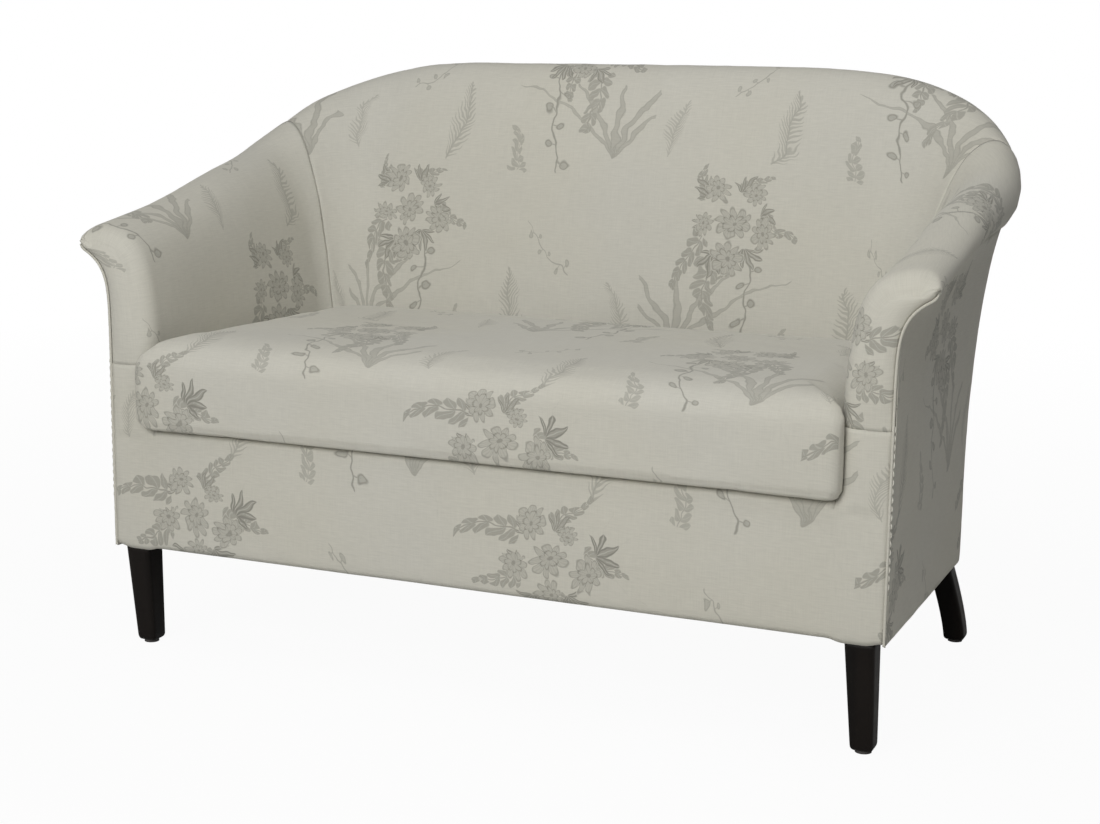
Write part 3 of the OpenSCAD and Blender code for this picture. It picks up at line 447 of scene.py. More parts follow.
def print_group():
    """Ink of the whole print: a cluster in every repeat, the flowers in front of the leaves."""
    tree, at, give = new_group("garden print", [("Cloth", "vector")], [("Ink", "number")])
    # a hand drew the blocks: the whole drawing wanders by a few millimetres
    wander = tree.nodes.new("ShaderNodeTexNoise")
    tree.links.new(at["Cloth"].socket, wander.inputs["Vector"])
    wander.inputs["Scale"].default_value = WANDER_SCALE
    wander.inputs["Detail"].default_value = 2.0
    du, dv, _ = split(tree, wander.outputs["Color"])
    u, v, _ = split(tree, at["Cloth"].socket)
    u, v = u + (du - 0.5) * WANDER, v + (dv - 0.5) * WANDER
    column = (u / REPEAT_W).floor()
    odd = (column * 0.5).fract() * 2.0
    x = ((u / REPEAT_W).fract() - 0.5) * REPEAT_W * (1.0 - odd * 2.0)
    y = (((v + odd * (REPEAT_H / 2)) / REPEAT_H).fract() - 0.5) * REPEAT_H

    def draw(name, px, py, bend):
        return use_group(tree, MOTIFS[name], X=px, Y=py, Bend=bend)["Ink"]

    # flowers of many sizes crowd round the middle of the cluster
    ox, oy, number = ring(x - 0.006, y, 5, 0.4, odd * 7.0)
    luck = chance(tree, number, 3.1)
    ink = draw("dahlia", *placed(ox, oy, luck * 0.022 + 0.040, 0.0, luck * 6.0, luck * 0.017 + 0.013),
               luck * 5.0)
    ink = ink.most(draw("dahlia", *placed(x, y, 0.004, -0.004, 0.5, 0.027), 0.6))
    # fans of leaves and thin sprays reach out behind them
    ox, oy, number = ring(x, y + 0.006, 6, 0.9, odd * 11.0 + 20.0)
    luck = chance(tree, number, 1.7)
    leaves = draw("leaf_fan", *placed(ox, oy, luck * 0.03 + 0.042, 0.0, luck - 0.5, luck * 0.022 + 0.026),
                  luck)
    ox, oy, number = ring(x, y, 5, 1.3, odd * 5.0 + 31.0)
    luck = chance(tree, number, 2.3)
    leaves = leaves.most(draw("spray", *placed(ox, oy, 0.05, 0.0, luck * 0.8 - 0.4, luck * 0.05 + 0.05),
                              luck - 0.5) * 0.85)
    # what hangs from the cluster and grows beside it
    for name, across, up, turn_by, length, bend, strength in SPRIGS:
        leaves = leaves.most(draw(name, *placed(x, y, across, up, turn_by, length), bend) * strength)
    give("Ink", ink.most(leaves * ink.below(0.03, 0.03)))
    return tree


PRINT = print_group()

# %% [markdown]
# ## Linen
# Linen is a plain weave of uneven yarns: thick slubs run along both directions, and the surface is
# matt with a faint sheen at grazing angles. The group gives a tone, a height for the bump and the
# print's ink, which sinks into the yarns and so is never quite even.

# %% Linen group and its materials
THREAD = 0.0011         # metres from one yarn to the next


def linen_group():
    """Weave of a cloth map: slubby yarns both ways are stretched noises, the weave two sines."""
    tree, at, give = new_group("linen weave", [("Cloth", "vector"), ("Object", "vector")],
                               [("Tone", "number"), ("Height", "number"), ("Grain", "number")])
    cloth = at["Cloth"].socket
    u, v, _ = split(tree, cloth)
    threads = 2 * math.pi / THREAD
    warp = noise(tree, cloth, 1.0, 2.0, (900.0, 28.0, 1.0))
    weft = noise(tree, cloth, 1.0, 2.0, (28.0, 900.0, 1.0))
    slub = noise(tree, cloth, 1.0, 1.0, (60.0, 420.0, 1.0))
    weave = (u * threads).sin() * (v * threads).sin()
    patch = noise(tree, at["Object"].socket, 9.0, 3.0)
    tone = (warp + weft + slub - 1.5) * 0.13 + (patch - 0.5) * 0.05
    give("Tone", tone + 1.0)
    give("Height", (warp + weft) * 0.5 + weave * 0.12 + slub * 0.3)
    give("Grain", (warp + weft) * 0.5)
    return tree


LINEN = linen_group()
CREAM = (0.560, 0.546, 0.484)
TAUPE = (0.250, 0.243, 0.208)


def new_material(name):
    """Empty node material; returns it, its tree and its Principled shader."""
    material = bpy.data.materials.new(name)
    material.use_nodes = True
    tree = material.node_tree
    return material, tree, tree.nodes["Principled BSDF"]


def bump(tree, shader, height, strength, distance):
    """Bump node from a height field to the shader's normal; the distance is in metres."""
    node = tree.nodes.new("ShaderNodeBump")
    node.inputs["Strength"].default_value = strength
    node.inputs["Distance"].default_value = distance
    tree.links.new(height.socket, node.inputs["Height"])
    tree.links.new(node.outputs[0], shader.inputs["Normal"])


def times(tree, colour, factor):
    """Colour field times a number field."""
    node = tree.nodes.new("ShaderNodeVectorMath")
    node.operation = "SCALE"
    tree.links.new(colour.socket, node.inputs[0])
    tree.links.new(factor.socket, node.inputs["Scale"])
    return Field(tree, node.outputs[0])


def linen(name, shift=(0.0, 0.0), printed=True, base=CREAM):
    """Linen material; shift moves the print, as each panel is cut from another part of the bolt."""
    material, tree, shader = new_material(name)
    places = tree.nodes.new("ShaderNodeTexCoord")
    moved = tree.nodes.new("ShaderNodeMapping")
    moved.inputs["Location"].default_value = (*shift, 0.0)
    tree.links.new(places.outputs["UV"], moved.inputs["Vector"])
    cloth = Field(tree, moved.outputs[0])
    weave = use_group(tree, LINEN, Cloth=cloth, Object=Field(tree, places.outputs["Object"]))
    warm = noise(tree, places.outputs["Object"], 3.0, 2.0)
    colour = blended(tree, (warm - 0.35) * 1.6, base, (base[0], base[1] * 0.985, base[2] * 0.93))
    if printed:
        ink = use_group(tree, PRINT, Cloth=cloth)["Ink"]
        wear = noise(tree, cloth.socket, 70.0, 3.0)
        ink = ink * (weave["Grain"] * 0.9 + wear * 0.7 + 0.25).least(1.0)
        colour = blended(tree, ink, colour, TAUPE)
    colour = times(tree, colour, weave["Tone"])
    tree.links.new(colour.socket, shader.inputs["Base Color"])
    shader.inputs["Roughness"].default_value = 0.88
    shader.inputs["Specular IOR Level"].default_value = 0.25
    shader.inputs["Sheen Weight"].default_value = 0.12
    shader.inputs["Sheen Roughness"].default_value = 0.5
    bump(tree, shader, weave["Height"], 0.35, 0.0005)
    return material


linen_back = linen("linen_back", (0.05, 0.30))
linen_arm_right = linen("linen_arm_right", (0.11, 0.12))
linen_arm_left = linen("linen_arm_left", (0.20, 0.42))
linen_front = linen("linen_front", (0.02, 0.08))
linen_outside = linen("linen_outside", (0.16, 0.22))
linen_cushion = linen("linen_cushion", (0.09, 0.27))
linen_piping = linen("linen_piping", printed=False)
linen_thread = linen("linen_thread", printed=False, base=(0.66, 0.645, 0.58))
print(sum(m.name.startswith("linen") for m in bpy.data.materials), "linen materials")

# %% [markdown]
# ## The wall of the tub
# All covers lie on one surface. Its base line runs round the plan from the right arm front to the
# left one, and at every place stands a cross-section: up the outside panel, over the roll and down
# the inside to the seat deck. Two numbers find a point on it: the way along the base line, 0 to 2,
# and the row up and over the section, 0 to 26. The sizes are those of the CAD model.

# %% Sizes of the tub in millimetres
TUB_W, TUB_D, CORNER_R = 1166.0, 612.0, 165.0
BASE_Z, ARM_Z, BACK_Z, DECK_Z = 155.0, 630.0, 865.0, 338.0
ARM_FLARE, CORNER_FLARE, BACK_FLARE = 49.0, 62.0, 73.0
ARM_ROLL, BACK_ROLL = np.array([30.0, 20.0]), np.array([37.0, 53.0])
ARM_WALL, BACK_WALL = 72.0, 118.0
COVER_T, EDGE_R, FRONT_FOAM_T = 1.6, 27.0, 11.0
HALF_W = TUB_W / 2
ARM_RUN = TUB_D - CORNER_R
CORNER_RUN = CORNER_R * math.pi / 2
WAY = ARM_RUN + CORNER_RUN + HALF_W - CORNER_R
FOOT_ROW, TIP_ROW, ROLL_ROW, BORDER_ROW, DECK_ROW = 8, 11, 17, 25, 26
INSIDE_SEAM, OUTSIDE_SEAM = 0.46, 0.52
FRONT_PULL = 7.0        # the cloth is pulled tighter under the scroll than the CAD panel
ARM_TUCK, BACK_TUCK = -47.0, -73.0          # degrees round the roll where the outside panel starts
ROLL_END = math.radians(100.0)              # where the roll hands over to the inside
ARM_CURL, BACK_CURL = 13.0, 2.4             # power by which the outside panel curls out
ARM_SHOULDER, BACK_SHOULDER = 77.0, 60.0    # handle of the inside's cubic curve at the roll
ARM_UPRIGHT, BACK_UPRIGHT = 237.0, 250.0    # and its handle at the seat


def mix(a, b, w):
    """a where w is 0, b where w is 1, and their weighted mean between."""
    return a * (1 - w) + b * w


def smooth(x):
    """0 below 0, 1 above 1, and 3x^2 - 2x^3 between."""
    c = np.clip(x, 0, 1)
    return c * c * (3 - 2 * c)


def through(x, xs, ys):
    """Cubic curve through knots, whose slopes come from the neighbouring knots."""
    xs, ys = np.array(xs, float), np.array(ys, float)
    slope = np.zeros(len(xs))
    slope[0] = (ys[1] - ys[0]) / (xs[1] - xs[0])
    slope[1:-1] = (ys[2:] - ys[:-2]) / (xs[2:] - xs[:-2])
    i = np.clip(np.searchsorted(xs, x, side="right") - 1, 0, len(xs) - 2)
    h = xs[i + 1] - xs[i]
    u = (x - xs[i]) / h
    return ((2 * u**3 - 3 * u**2 + 1) * ys[i] + (u**3 - 2 * u**2 + u) * h * slope[i]
            + (3 * u**2 - 2 * u**3) * ys[i + 1] + (u**3 - u**2) * h * slope[i + 1])


def base_line(t):
    """Point and outward direction of the base line: arm, quarter circle, half the back."""
    s = t * WAY
    a = np.clip((s - ARM_RUN) / CORNER_R, 0, math.pi / 2)
    nx, ny = np.cos(a), np.sin(a)
    x = HALF_W - CORNER_R + CORNER_R * nx - np.maximum(s - ARM_RUN - CORNER_RUN, 0)
    y = np.minimum(s, ARM_RUN) + CORNER_R * ny
    return x, y, nx, ny


def back_share(t):
    """0 along the arm, 1 along the back, and a smooth step round the corner."""
    return smooth((t - 0.11) / (0.57 - 0.11))


def roll_shape(t):
    """Centre and half sizes of the roll: out of the base line, and up."""
    w = back_share(t)
    half_out, half_up = mix(ARM_ROLL[0], BACK_ROLL[0], w), mix(ARM_ROLL[1], BACK_ROLL[1], w)
    flare = through(t, (0, 0.22, 0.5, 0.75, 1),
                    (ARM_FLARE, ARM_FLARE, CORNER_FLARE, mix(CORNER_FLARE, BACK_FLARE, 0.8), BACK_FLARE))
    rise = through(t, (0, 0.14, 0.27, 0.40, 0.52, 0.63, 0.78, 1),
                   (0, 0.11, 0.27, 0.44, 0.77, 0.96, 1, 1))
    return flare - half_out, mix(ARM_Z, BACK_Z, rise) - half_up, half_out, half_up


def section(t, r):
    """Cross-section: a panel that curls out as a power of its height, an ellipse, and a cubic
    curve from the roll down to the seat. Returns distance out of the base line, and height."""
    w = back_share(t)
    out, up, half_out, half_up = roll_shape(t)
    tuck = np.radians(mix(ARM_TUCK, BACK_TUCK, w))
    foot_out, foot_z = out + half_out * np.cos(tuck), up + half_up * np.sin(tuck)
    k = np.clip(r / FOOT_ROW, 0, 1)
    share = 1 - (1 - k) ** 2
    power = np.exp(mix(math.log(ARM_CURL), math.log(BACK_CURL), w)) + FRONT_PULL * (1 - smooth(t / 0.09))
    panel_out = foot_out * np.maximum(share, 1e-9) ** power
    panel_z = mix(BASE_Z, foot_z, share)
    k = np.clip(r - FOOT_ROW, 0, 9)
    a = np.where(k <= 3, tuck * (1 - k / 3), ROLL_END * (k - 3) / 6)
    roll_out, roll_z = out + half_out * np.cos(a), up + half_up * np.sin(a)
    k = np.clip(r - ROLL_ROW, 0, 9)
    s = np.where(k <= 8, 0.85 * k / 8, 0.85 + 0.15 * (k - 8))
    top_out, top_z = out + half_out * math.cos(ROLL_END), up + half_up * math.sin(ROLL_END)
    dir_out, dir_z = -half_out * math.sin(ROLL_END), half_up * math.cos(ROLL_END)
    length = np.hypot(dir_out, dir_z)
    shoulder = mix(ARM_SHOULDER, BACK_SHOULDER, w)
    seat_out = -mix(ARM_WALL, BACK_WALL, w)
    upright = mix(ARM_UPRIGHT, BACK_UPRIGHT, w)
    b_out, b_z = top_out + dir_out / length * shoulder, top_z + dir_z / length * shoulder
    c_out, c_z = seat_out + upright * 0.09 * w, DECK_Z + upright
    p, q = 1 - s, s
    in_out = p**3 * top_out + 3 * p * p * q * b_out + 3 * p * q * q * c_out + q**3 * seat_out
    in_z = p**3 * top_z + 3 * p * p * q * b_z + 3 * p * q * q * c_z + q**3 * DECK_Z
    return (np.where(r <= FOOT_ROW, panel_out, np.where(r <= ROLL_ROW, roll_out, in_out)),
            np.where(r <= FOOT_ROW, panel_z, np.where(r <= ROLL_ROW, roll_z, in_z)))


def deep_section(t, r, depth):
    """Section moved into the wall by a depth, square to its own line."""
    out, z = section(t, r)
    out_a, z_a = section(t, np.clip(r - 0.3, 0, DECK_ROW))
    out_b, z_b = section(t, np.clip(r + 0.3, 0, DECK_ROW))
    length = np.hypot(out_b - out_a, z_b - z_a)
    return out - depth * (z_b - z_a) / length, z + depth * (out_b - out_a) / length


def wall(v, r, depth=0.0):
    """Point of the wall at way v and row r, `depth` millimetres inside its surface."""
    t = np.where(v <= 1, v, 2 - v)
    out, z = deep_section(t, r, depth)
    x, y, nx, ny = base_line(t)
    x = np.where(v <= 1, 1, -1) * (x + nx * out)
    return np.stack(np.broadcast_arrays(x, y + ny * out + FRONT_Y, z), -1)


def foam_depth(t, r):
    """Where the foam ends behind the surface: thin on the roll, full at the seat."""
    full = mix(26.0, 45.0, back_share(t))
    grown = smooth((r - ROLL_ROW) / 6.0)
    return 1.9 + mix(8.0, full, np.where(r <= ROLL_ROW, 0, grown))


def even_rows(a, b, step, t=0.2, fixed=()):
    """Rows from a to b whose spacing along the section at way t is about `step` millimetres."""
    marks = [a, *[f for f in fixed if a < f < b], b]
    rows = [np.array([a], float)]
    for low, high in zip(marks[:-1], marks[1:]):
        fine = np.linspace(low, high, 400)
        out, z = section(np.full(400, t), fine)
        run = np.concatenate([[0], np.cumsum(np.hypot(np.diff(out), np.diff(z)))])
        count = max(2, int(round(run[-1] / step)))
        rows.append(np.interp(np.linspace(0, run[-1], count + 1)[1:], run, fine))
    return np.concatenate(rows)


RIM_ROW = 14.0
print("base line", round(WAY, 1), "mm to the middle of the back; rim at the arm front",
      [round(float(x), 1) for x in section(np.array(0.0), np.array(RIM_ROW))])

# %% [markdown]
# ## Fullness and pulls
# Cloth over foam is never quite even. A smooth value noise, worked out with whole arrays, gives low
# swells; seams are valleys that fade with the distance from the edge of a panel.

# %% Swells and seams
def value_noise(u, v, size, seed):
    """Smooth noise from -1 to 1: random values on a lattice, joined by smooth weights."""
    values = np.random.default_rng(seed).uniform(-1, 1, (256, 256))
    x, y = u / size + 1000.0, v / size + 1000.0
    i, j = np.floor(x).astype(int), np.floor(y).astype(int)
    fx, fy = smooth(x - i), smooth(y - j)
    i, j = i % 255, j % 255
    low = mix(values[i, j], values[i + 1, j], fx)
    high = mix(values[i, j + 1], values[i + 1, j + 1], fx)
    return mix(low, high, fy)


def swells(u, v, seed, height=1.0):
    """Fullness of a padded cover: broad swells with finer ones on them."""
    return height * (value_noise(u, v, 95.0, seed) + 0.45 * value_noise(u, v, 38.0, seed + 1)
                     + 0.15 * value_noise(u, v, 14.0, seed + 2))


def valley(distance, depth, width):
    """Groove beside a seam: `depth` at the seam, gone after about two widths."""
    return -depth * np.exp(-(np.maximum(distance, 0) / width) ** 2)


def normals_of(points):
    """Unit normals of a grid of points, from its two directions."""
    du, dv = np.gradient(points, axis=1), np.gradient(points, axis=0)
    n = np.cross(du, dv)
    return n / np.maximum(np.linalg.norm(n, axis=-1, keepdims=True), 1e-9)


def run_along(points, axis):
    """Distance along a grid of points in one direction, from its first line."""
    step = np.linalg.norm(np.diff(points, axis=axis), axis=-1)
    pad = [(0, 0), (0, 0)]
    pad[axis] = (1, 0)
    return np.cumsum(np.pad(step, pad), axis=axis)


# %% [markdown]
# ## Inside arms
# The inside cover of an arm starts under the roll, goes over it and down to the seat deck. At the
# front it turns round a soft edge and covers the arm front as one flat, slightly pillowed face,
# down to a seam level with the seat front. It is one padded body with the foam inside.

# %% Inside arm and arm front
PIPED_R = 3.0           # radius of the arm's front edge where the piping covers it
FACE_SPLIT_Z = 560.0    # above it the arm front is ruled along the scroll, below it level
ARM_STEP, ARM_COLUMNS = 5.5, 92
EDGE_STEPS, FACE_STEPS = 9, 16
FACE_BULGE = 4.5        # fullness of the arm front


def edge_radius(r):
    """Radius of the arm's front edge: tight behind the piping, soft on the inside."""
    return np.where(r < TIP_ROW, PIPED_R, mix(5.0, EDGE_R, smooth((r - TIP_ROW) / 3.8)))


def along_line(points, share):
    """Points at the given shares of a polyline's length."""
    run = np.concatenate([[0], np.cumsum(np.linalg.norm(np.diff(points, axis=0), axis=1))])
    return np.stack([np.interp(share * run[-1], run, points[:, k]) for k in range(points.shape[1])], -1)


def arm_front_face(rows, count, bulge):
    """Ruled surface between the soft inner edge and the piped outer edge of the arm front,
    in the plane y = 0, with a slight pillow that is a sine across the face."""
    zero = np.zeros_like(rows)
    inner = np.stack(deep_section(zero, rows, edge_radius(rows)), -1)
    fine = np.linspace(TIP_ROW, 0.5, 600)
    outer = np.stack(deep_section(np.zeros(600), fine, PIPED_R), -1)
    low = inner[-1, 1]
    last = [np.interp(low, outer[::-1, 1], outer[::-1, 0]), low]
    outer = np.vstack([outer[outer[:, 1] > low], [last]])
    in_run = np.concatenate([[0], np.cumsum(np.linalg.norm(np.diff(inner, axis=0), axis=1))])
    high = (inner[:, 1] > FACE_SPLIT_Z) | (rows < ROLL_ROW)
    split_run = in_run[high][-1]
    split_out = [np.interp(FACE_SPLIT_Z, outer[::-1, 1], outer[::-1, 0]), FACE_SPLIT_Z]
    upper = along_line(np.vstack([outer[outer[:, 1] > FACE_SPLIT_Z], [split_out]]),
                       np.clip(in_run / split_run, 0, 1))
    lower = np.stack([np.interp(inner[:, 1], outer[::-1, 1], outer[::-1, 0]), inner[:, 1]], -1)
    far_side = np.where(high[:, None], upper, lower)
    k = np.linspace(0, 1, count + 1)[None, :, None]
    flat = mix(inner[:, None, :], far_side[:, None, :], k)
    full = mix(0.25, 1.0, smooth((inner[:, 1] - low) / 45.0))[:, None]
    pillow = -bulge * full * np.sin(math.pi * k[..., 0]) ** 0.7
    pillow = pillow + 1.4 * k[..., 0] ** 8
    return np.stack([HALF_W + flat[..., 0], pillow + FRONT_Y, flat[..., 1]], -1)


def arm_cover(side):
    """Grids of the main cover, of the soft edge and of the face, welded into one closed body."""
    rows = even_rows(FOOT_ROW, DECK_ROW, ARM_STEP, 0.1, (TIP_ROW, BORDER_ROW))
    starts = edge_radius(rows)
    ways = np.linspace(0, 1, ARM_COLUMNS)
    seam_run = INSIDE_SEAM * WAY
    run = starts[:, None] + (seam_run - 0.6 - starts[:, None]) * ways[None, :]
    v, r = run / WAY, np.repeat(rows[:, None], len(ways), 1)
    main = wall(v, r)
    up = run_along(main[::-1], 0)[::-1]
    seed = 11 if side > 0 else 51
    lift = swells(run, up, seed, 0.9)
    lift = lift + valley(seam_run - run, 1.3, 4.0) + valley(up, 3.0, 9.0)
    lift = lift + valley((r - FOOT_ROW) * 9.0, 1.6, 4.0)
    pull = np.exp(-((seam_run - run) / 55.0) ** 2) * np.sin(up / 17.0 + run / 60.0)
    lift = lift + 0.7 * pull * smooth((up - 90.0) / 120.0)
    fade = smooth((run - starts[:, None]) / 30.0)
    main_out = main + normals_of(main) * (lift * fade)[..., None]
    main_in = wall(v, r, foam_depth(v, r))

    keep = (rows >= TIP_ROW) & (rows <= BORDER_ROW)
    edge_rows, radius = rows[keep], starts[keep][:, None]
    angles = np.linspace(0, math.pi / 2, EDGE_STEPS)[None]
    edge_r = np.repeat(edge_rows[:, None], EDGE_STEPS, 1)
    edge_out = wall(radius * (1 - np.sin(angles)) / WAY, edge_r, radius * (1 - np.cos(angles)))
    face_depth = COVER_T + FRONT_FOAM_T
    back = mix(foam_depth(0 * edge_r, edge_r), np.maximum(radius, 14.0), np.sin(angles))
    edge_in = wall(mix(radius, face_depth, np.sin(angles)) / WAY, edge_r, back)
    edge_run = radius - radius * angles
    edge_up = np.repeat(up[keep][:, :1], EDGE_STEPS, 1)
    face = arm_front_face(edge_rows, FACE_STEPS, FACE_BULGE)
    face[:, 0] = edge_out[:, -1]
    face_in = face * [1, 0, 1] + [0, FRONT_Y + face_depth, 0]
    face_in[:, 0] = edge_in[:, -1]
    across = run_along(face, 1)
    share = across / np.maximum(across[:, -1:], 1)
    face_up = mix(edge_up[:, :1], face[..., 2] - DECK_Z, share)

    outer, quads = joined([main_out, edge_out, face], turned=(1, 2))
    inner = joined([main_in, edge_in, face_in])[0]
    maps = [np.stack([run, up], -1), np.stack([edge_run, edge_up], -1),
            np.stack([edge_run[:, -1:] - across, face_up], -1)]
    uv = joined(maps)[0]
    first, quads = welded(outer, quads)
    points, quads = closed(outer[first], inner[first], quads)
    uv = np.vstack([uv[first], uv[first]])
    if side < 0:
        points, quads = mirrored(points, quads)
        uv = uv * [-1, 1]
    label = "right" if side > 0 else "left"
    piece = new_piece(f"inside_arm_{label}", points, quads, uv,
                      linen_arm_right if side > 0 else linen_arm_left)
    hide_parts(f"inside_arm_cover_{label}", f"arm_foam_{label}", f"arm_front_pad_{label}")


for side in (1, -1):
    arm_cover(side)

# %% [markdown]
# ## Inside back
# The inside back is one panel between the two seams near the corners. It is fuller in the middle,
# over 45 mm of foam, and it rolls over the crest to the same blind seam as the arms.

# %% Inside back
MEASURED_ROW = 20.5     # the row, half way down the inside, along which the panel is measured
BACK_STEP, BACK_COLUMNS = 6.0, 211
CROWN = 4.0


def back_cover():
    """Wall between the two seams, lifted by swells, by valleys at its edges and by a cosine crown."""
    rows = even_rows(FOOT_ROW, DECK_ROW, BACK_STEP, 1.0)
    v = np.tile(np.linspace(INSIDE_SEAM, 2 - INSIDE_SEAM, BACK_COLUMNS), (len(rows), 1))
    r = np.repeat(rows[:, None], BACK_COLUMNS, 1)
    base = wall(v, r)
    up = run_along(base[::-1], 0)[::-1]
    middle = np.argmin(np.abs(rows - MEASURED_ROW))
    across = np.repeat(run_along(base[middle:middle + 1], 1), len(rows), 0)
    across = across - across[:, -1:] / 2
    gap = across[:, -1:] - np.abs(across)
    lift = swells(across, up, 31, 1.2)
    lift = lift + valley(gap, 1.3, 4.0) + valley(up, 3.0, 9.0) + valley((r - FOOT_ROW) * 14.0, 1.8, 5.0)
    crown = CROWN * np.cos(np.clip(across / across[:, -1:], -1, 1) * math.pi / 2) ** 0.8
    lift = lift + crown * smooth((up - 20.0) / 160.0)
    pull = np.exp(-(gap / 60.0) ** 2) * np.sin(up / 19.0 - across / 70.0)
    lift = lift + 0.7 * pull * smooth((up - 110.0) / 150.0)
    outer = base + normals_of(base) * lift[..., None]
    inner = wall(v, r, foam_depth(np.where(v <= 1, v, 2 - v), r))
    points, quads = closed(outer.reshape(-1, 3), inner.reshape(-1, 3), grid_quads(*outer.shape[:2]))
    uv = np.stack([across, up], -1).reshape(-1, 2)
    piece = new_piece("inside_back", points, quads, np.vstack([uv, uv]), linen_back)
    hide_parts("inside_back_cover", "back_foam")


back_cover()

# %% [markdown]
# ## Outside covers
# The outside covers are single cloths pulled tight from the blind seam under the roll to the
# underside. Only their edges give them away: folds run down beside the piping where the cloth is
# stitched by hand, and the two seams at the back corners are slight valleys.

# %% Outside arms and outside back
def outside_cover(name, a, b, count, node, seed, front_fold):
    """Wall from way a to way b below the roll, lifted by swells, by valleys at its seams and, on
    an arm, by sines that fade with the distance from its front edge: the hand-sewn folds."""
    rows = even_rows(0, FOOT_ROW, 7.0, 0.1)
    ways = np.linspace(a, b, count)
    if front_fold:
        ways = a + (b - a) * (smooth(np.linspace(0, 1, count) ** 0.8 * 0.5) * 2)
    v, r = np.tile(ways, (len(rows), 1)), np.repeat(rows[:, None], count, 1)
    base = wall(v, r)
    up = run_along(base, 0)
    across = np.repeat(run_along(base[3:4], 1), len(rows), 0)
    lift = swells(across, up, seed, 0.7)
    near, far = across, across[:, -1:] - across
    lift = lift + valley(far, 1.6, 4.0) + valley((FOOT_ROW - r) * 16.0, 1.5, 5.0)
    if front_fold:
        folds = np.sin(near / 4.1 + 0.8 * value_noise(up, up * 0, 90.0, seed + 5)) * np.exp(-near / 24.0)
        hang = 0.55 + 0.45 * value_noise(up, near * 0, 120.0, seed + 9)
        lift = lift + 1.5 * folds * hang + 1.4 * np.exp(-(near / 3.0) ** 2)
    else:
        lift = lift + valley(near, 1.6, 4.0)
    lift = lift - 0.6 * (1 - smooth(up / 12.0))
    n = normals_of(base)
    outer, inner = base + n * lift[..., None], base + n * (lift - COVER_T)[..., None]
    points, quads = closed(outer.reshape(-1, 3), inner.reshape(-1, 3), grid_quads(*outer.shape[:2]))
    uv = np.stack([across, up], -1).reshape(-1, 2)
    uv = np.vstack([uv, uv])
    if name.endswith("left"):
        points, quads = mirrored(points, quads)
        uv = uv * [-1, 1]
    piece = new_piece(name, points, quads, uv, linen_outside)
    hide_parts(node)


for label, seed in (("right", 71), ("left", 91)):
    outside_cover(f"outside_arm_{label}", PIPED_R / WAY, OUTSIDE_SEAM - 0.3 / WAY, 110,
                  f"outside_arm_cover_{label}", seed, True)
outside_cover("outside_back", OUTSIDE_SEAM, 2 - OUTSIDE_SEAM, 160, "outside_back_cover", 111, False)

# %% [markdown]
# ## Seat front
# The seat front is one piece with the feet of both arm fronts. It rises from the underside to the
# edge of the deck, rolls over it, and its two ears go on up to the seam of the arm fronts. At the
# outer ends the cloth wraps the heads of the legs, so its lower line dips there.

# %% Seat front
DECK_EDGE_R, DECK_FLANGE = 12.0, 47.2       # the border rolls over the deck's edge and lies on it
APRON_Z = BASE_Z + 3.4
BORDER_T = 9.0
LEG_DIP, END_RISE = 4.5, 5.0                # the lower line wraps the leg heads, then comes up


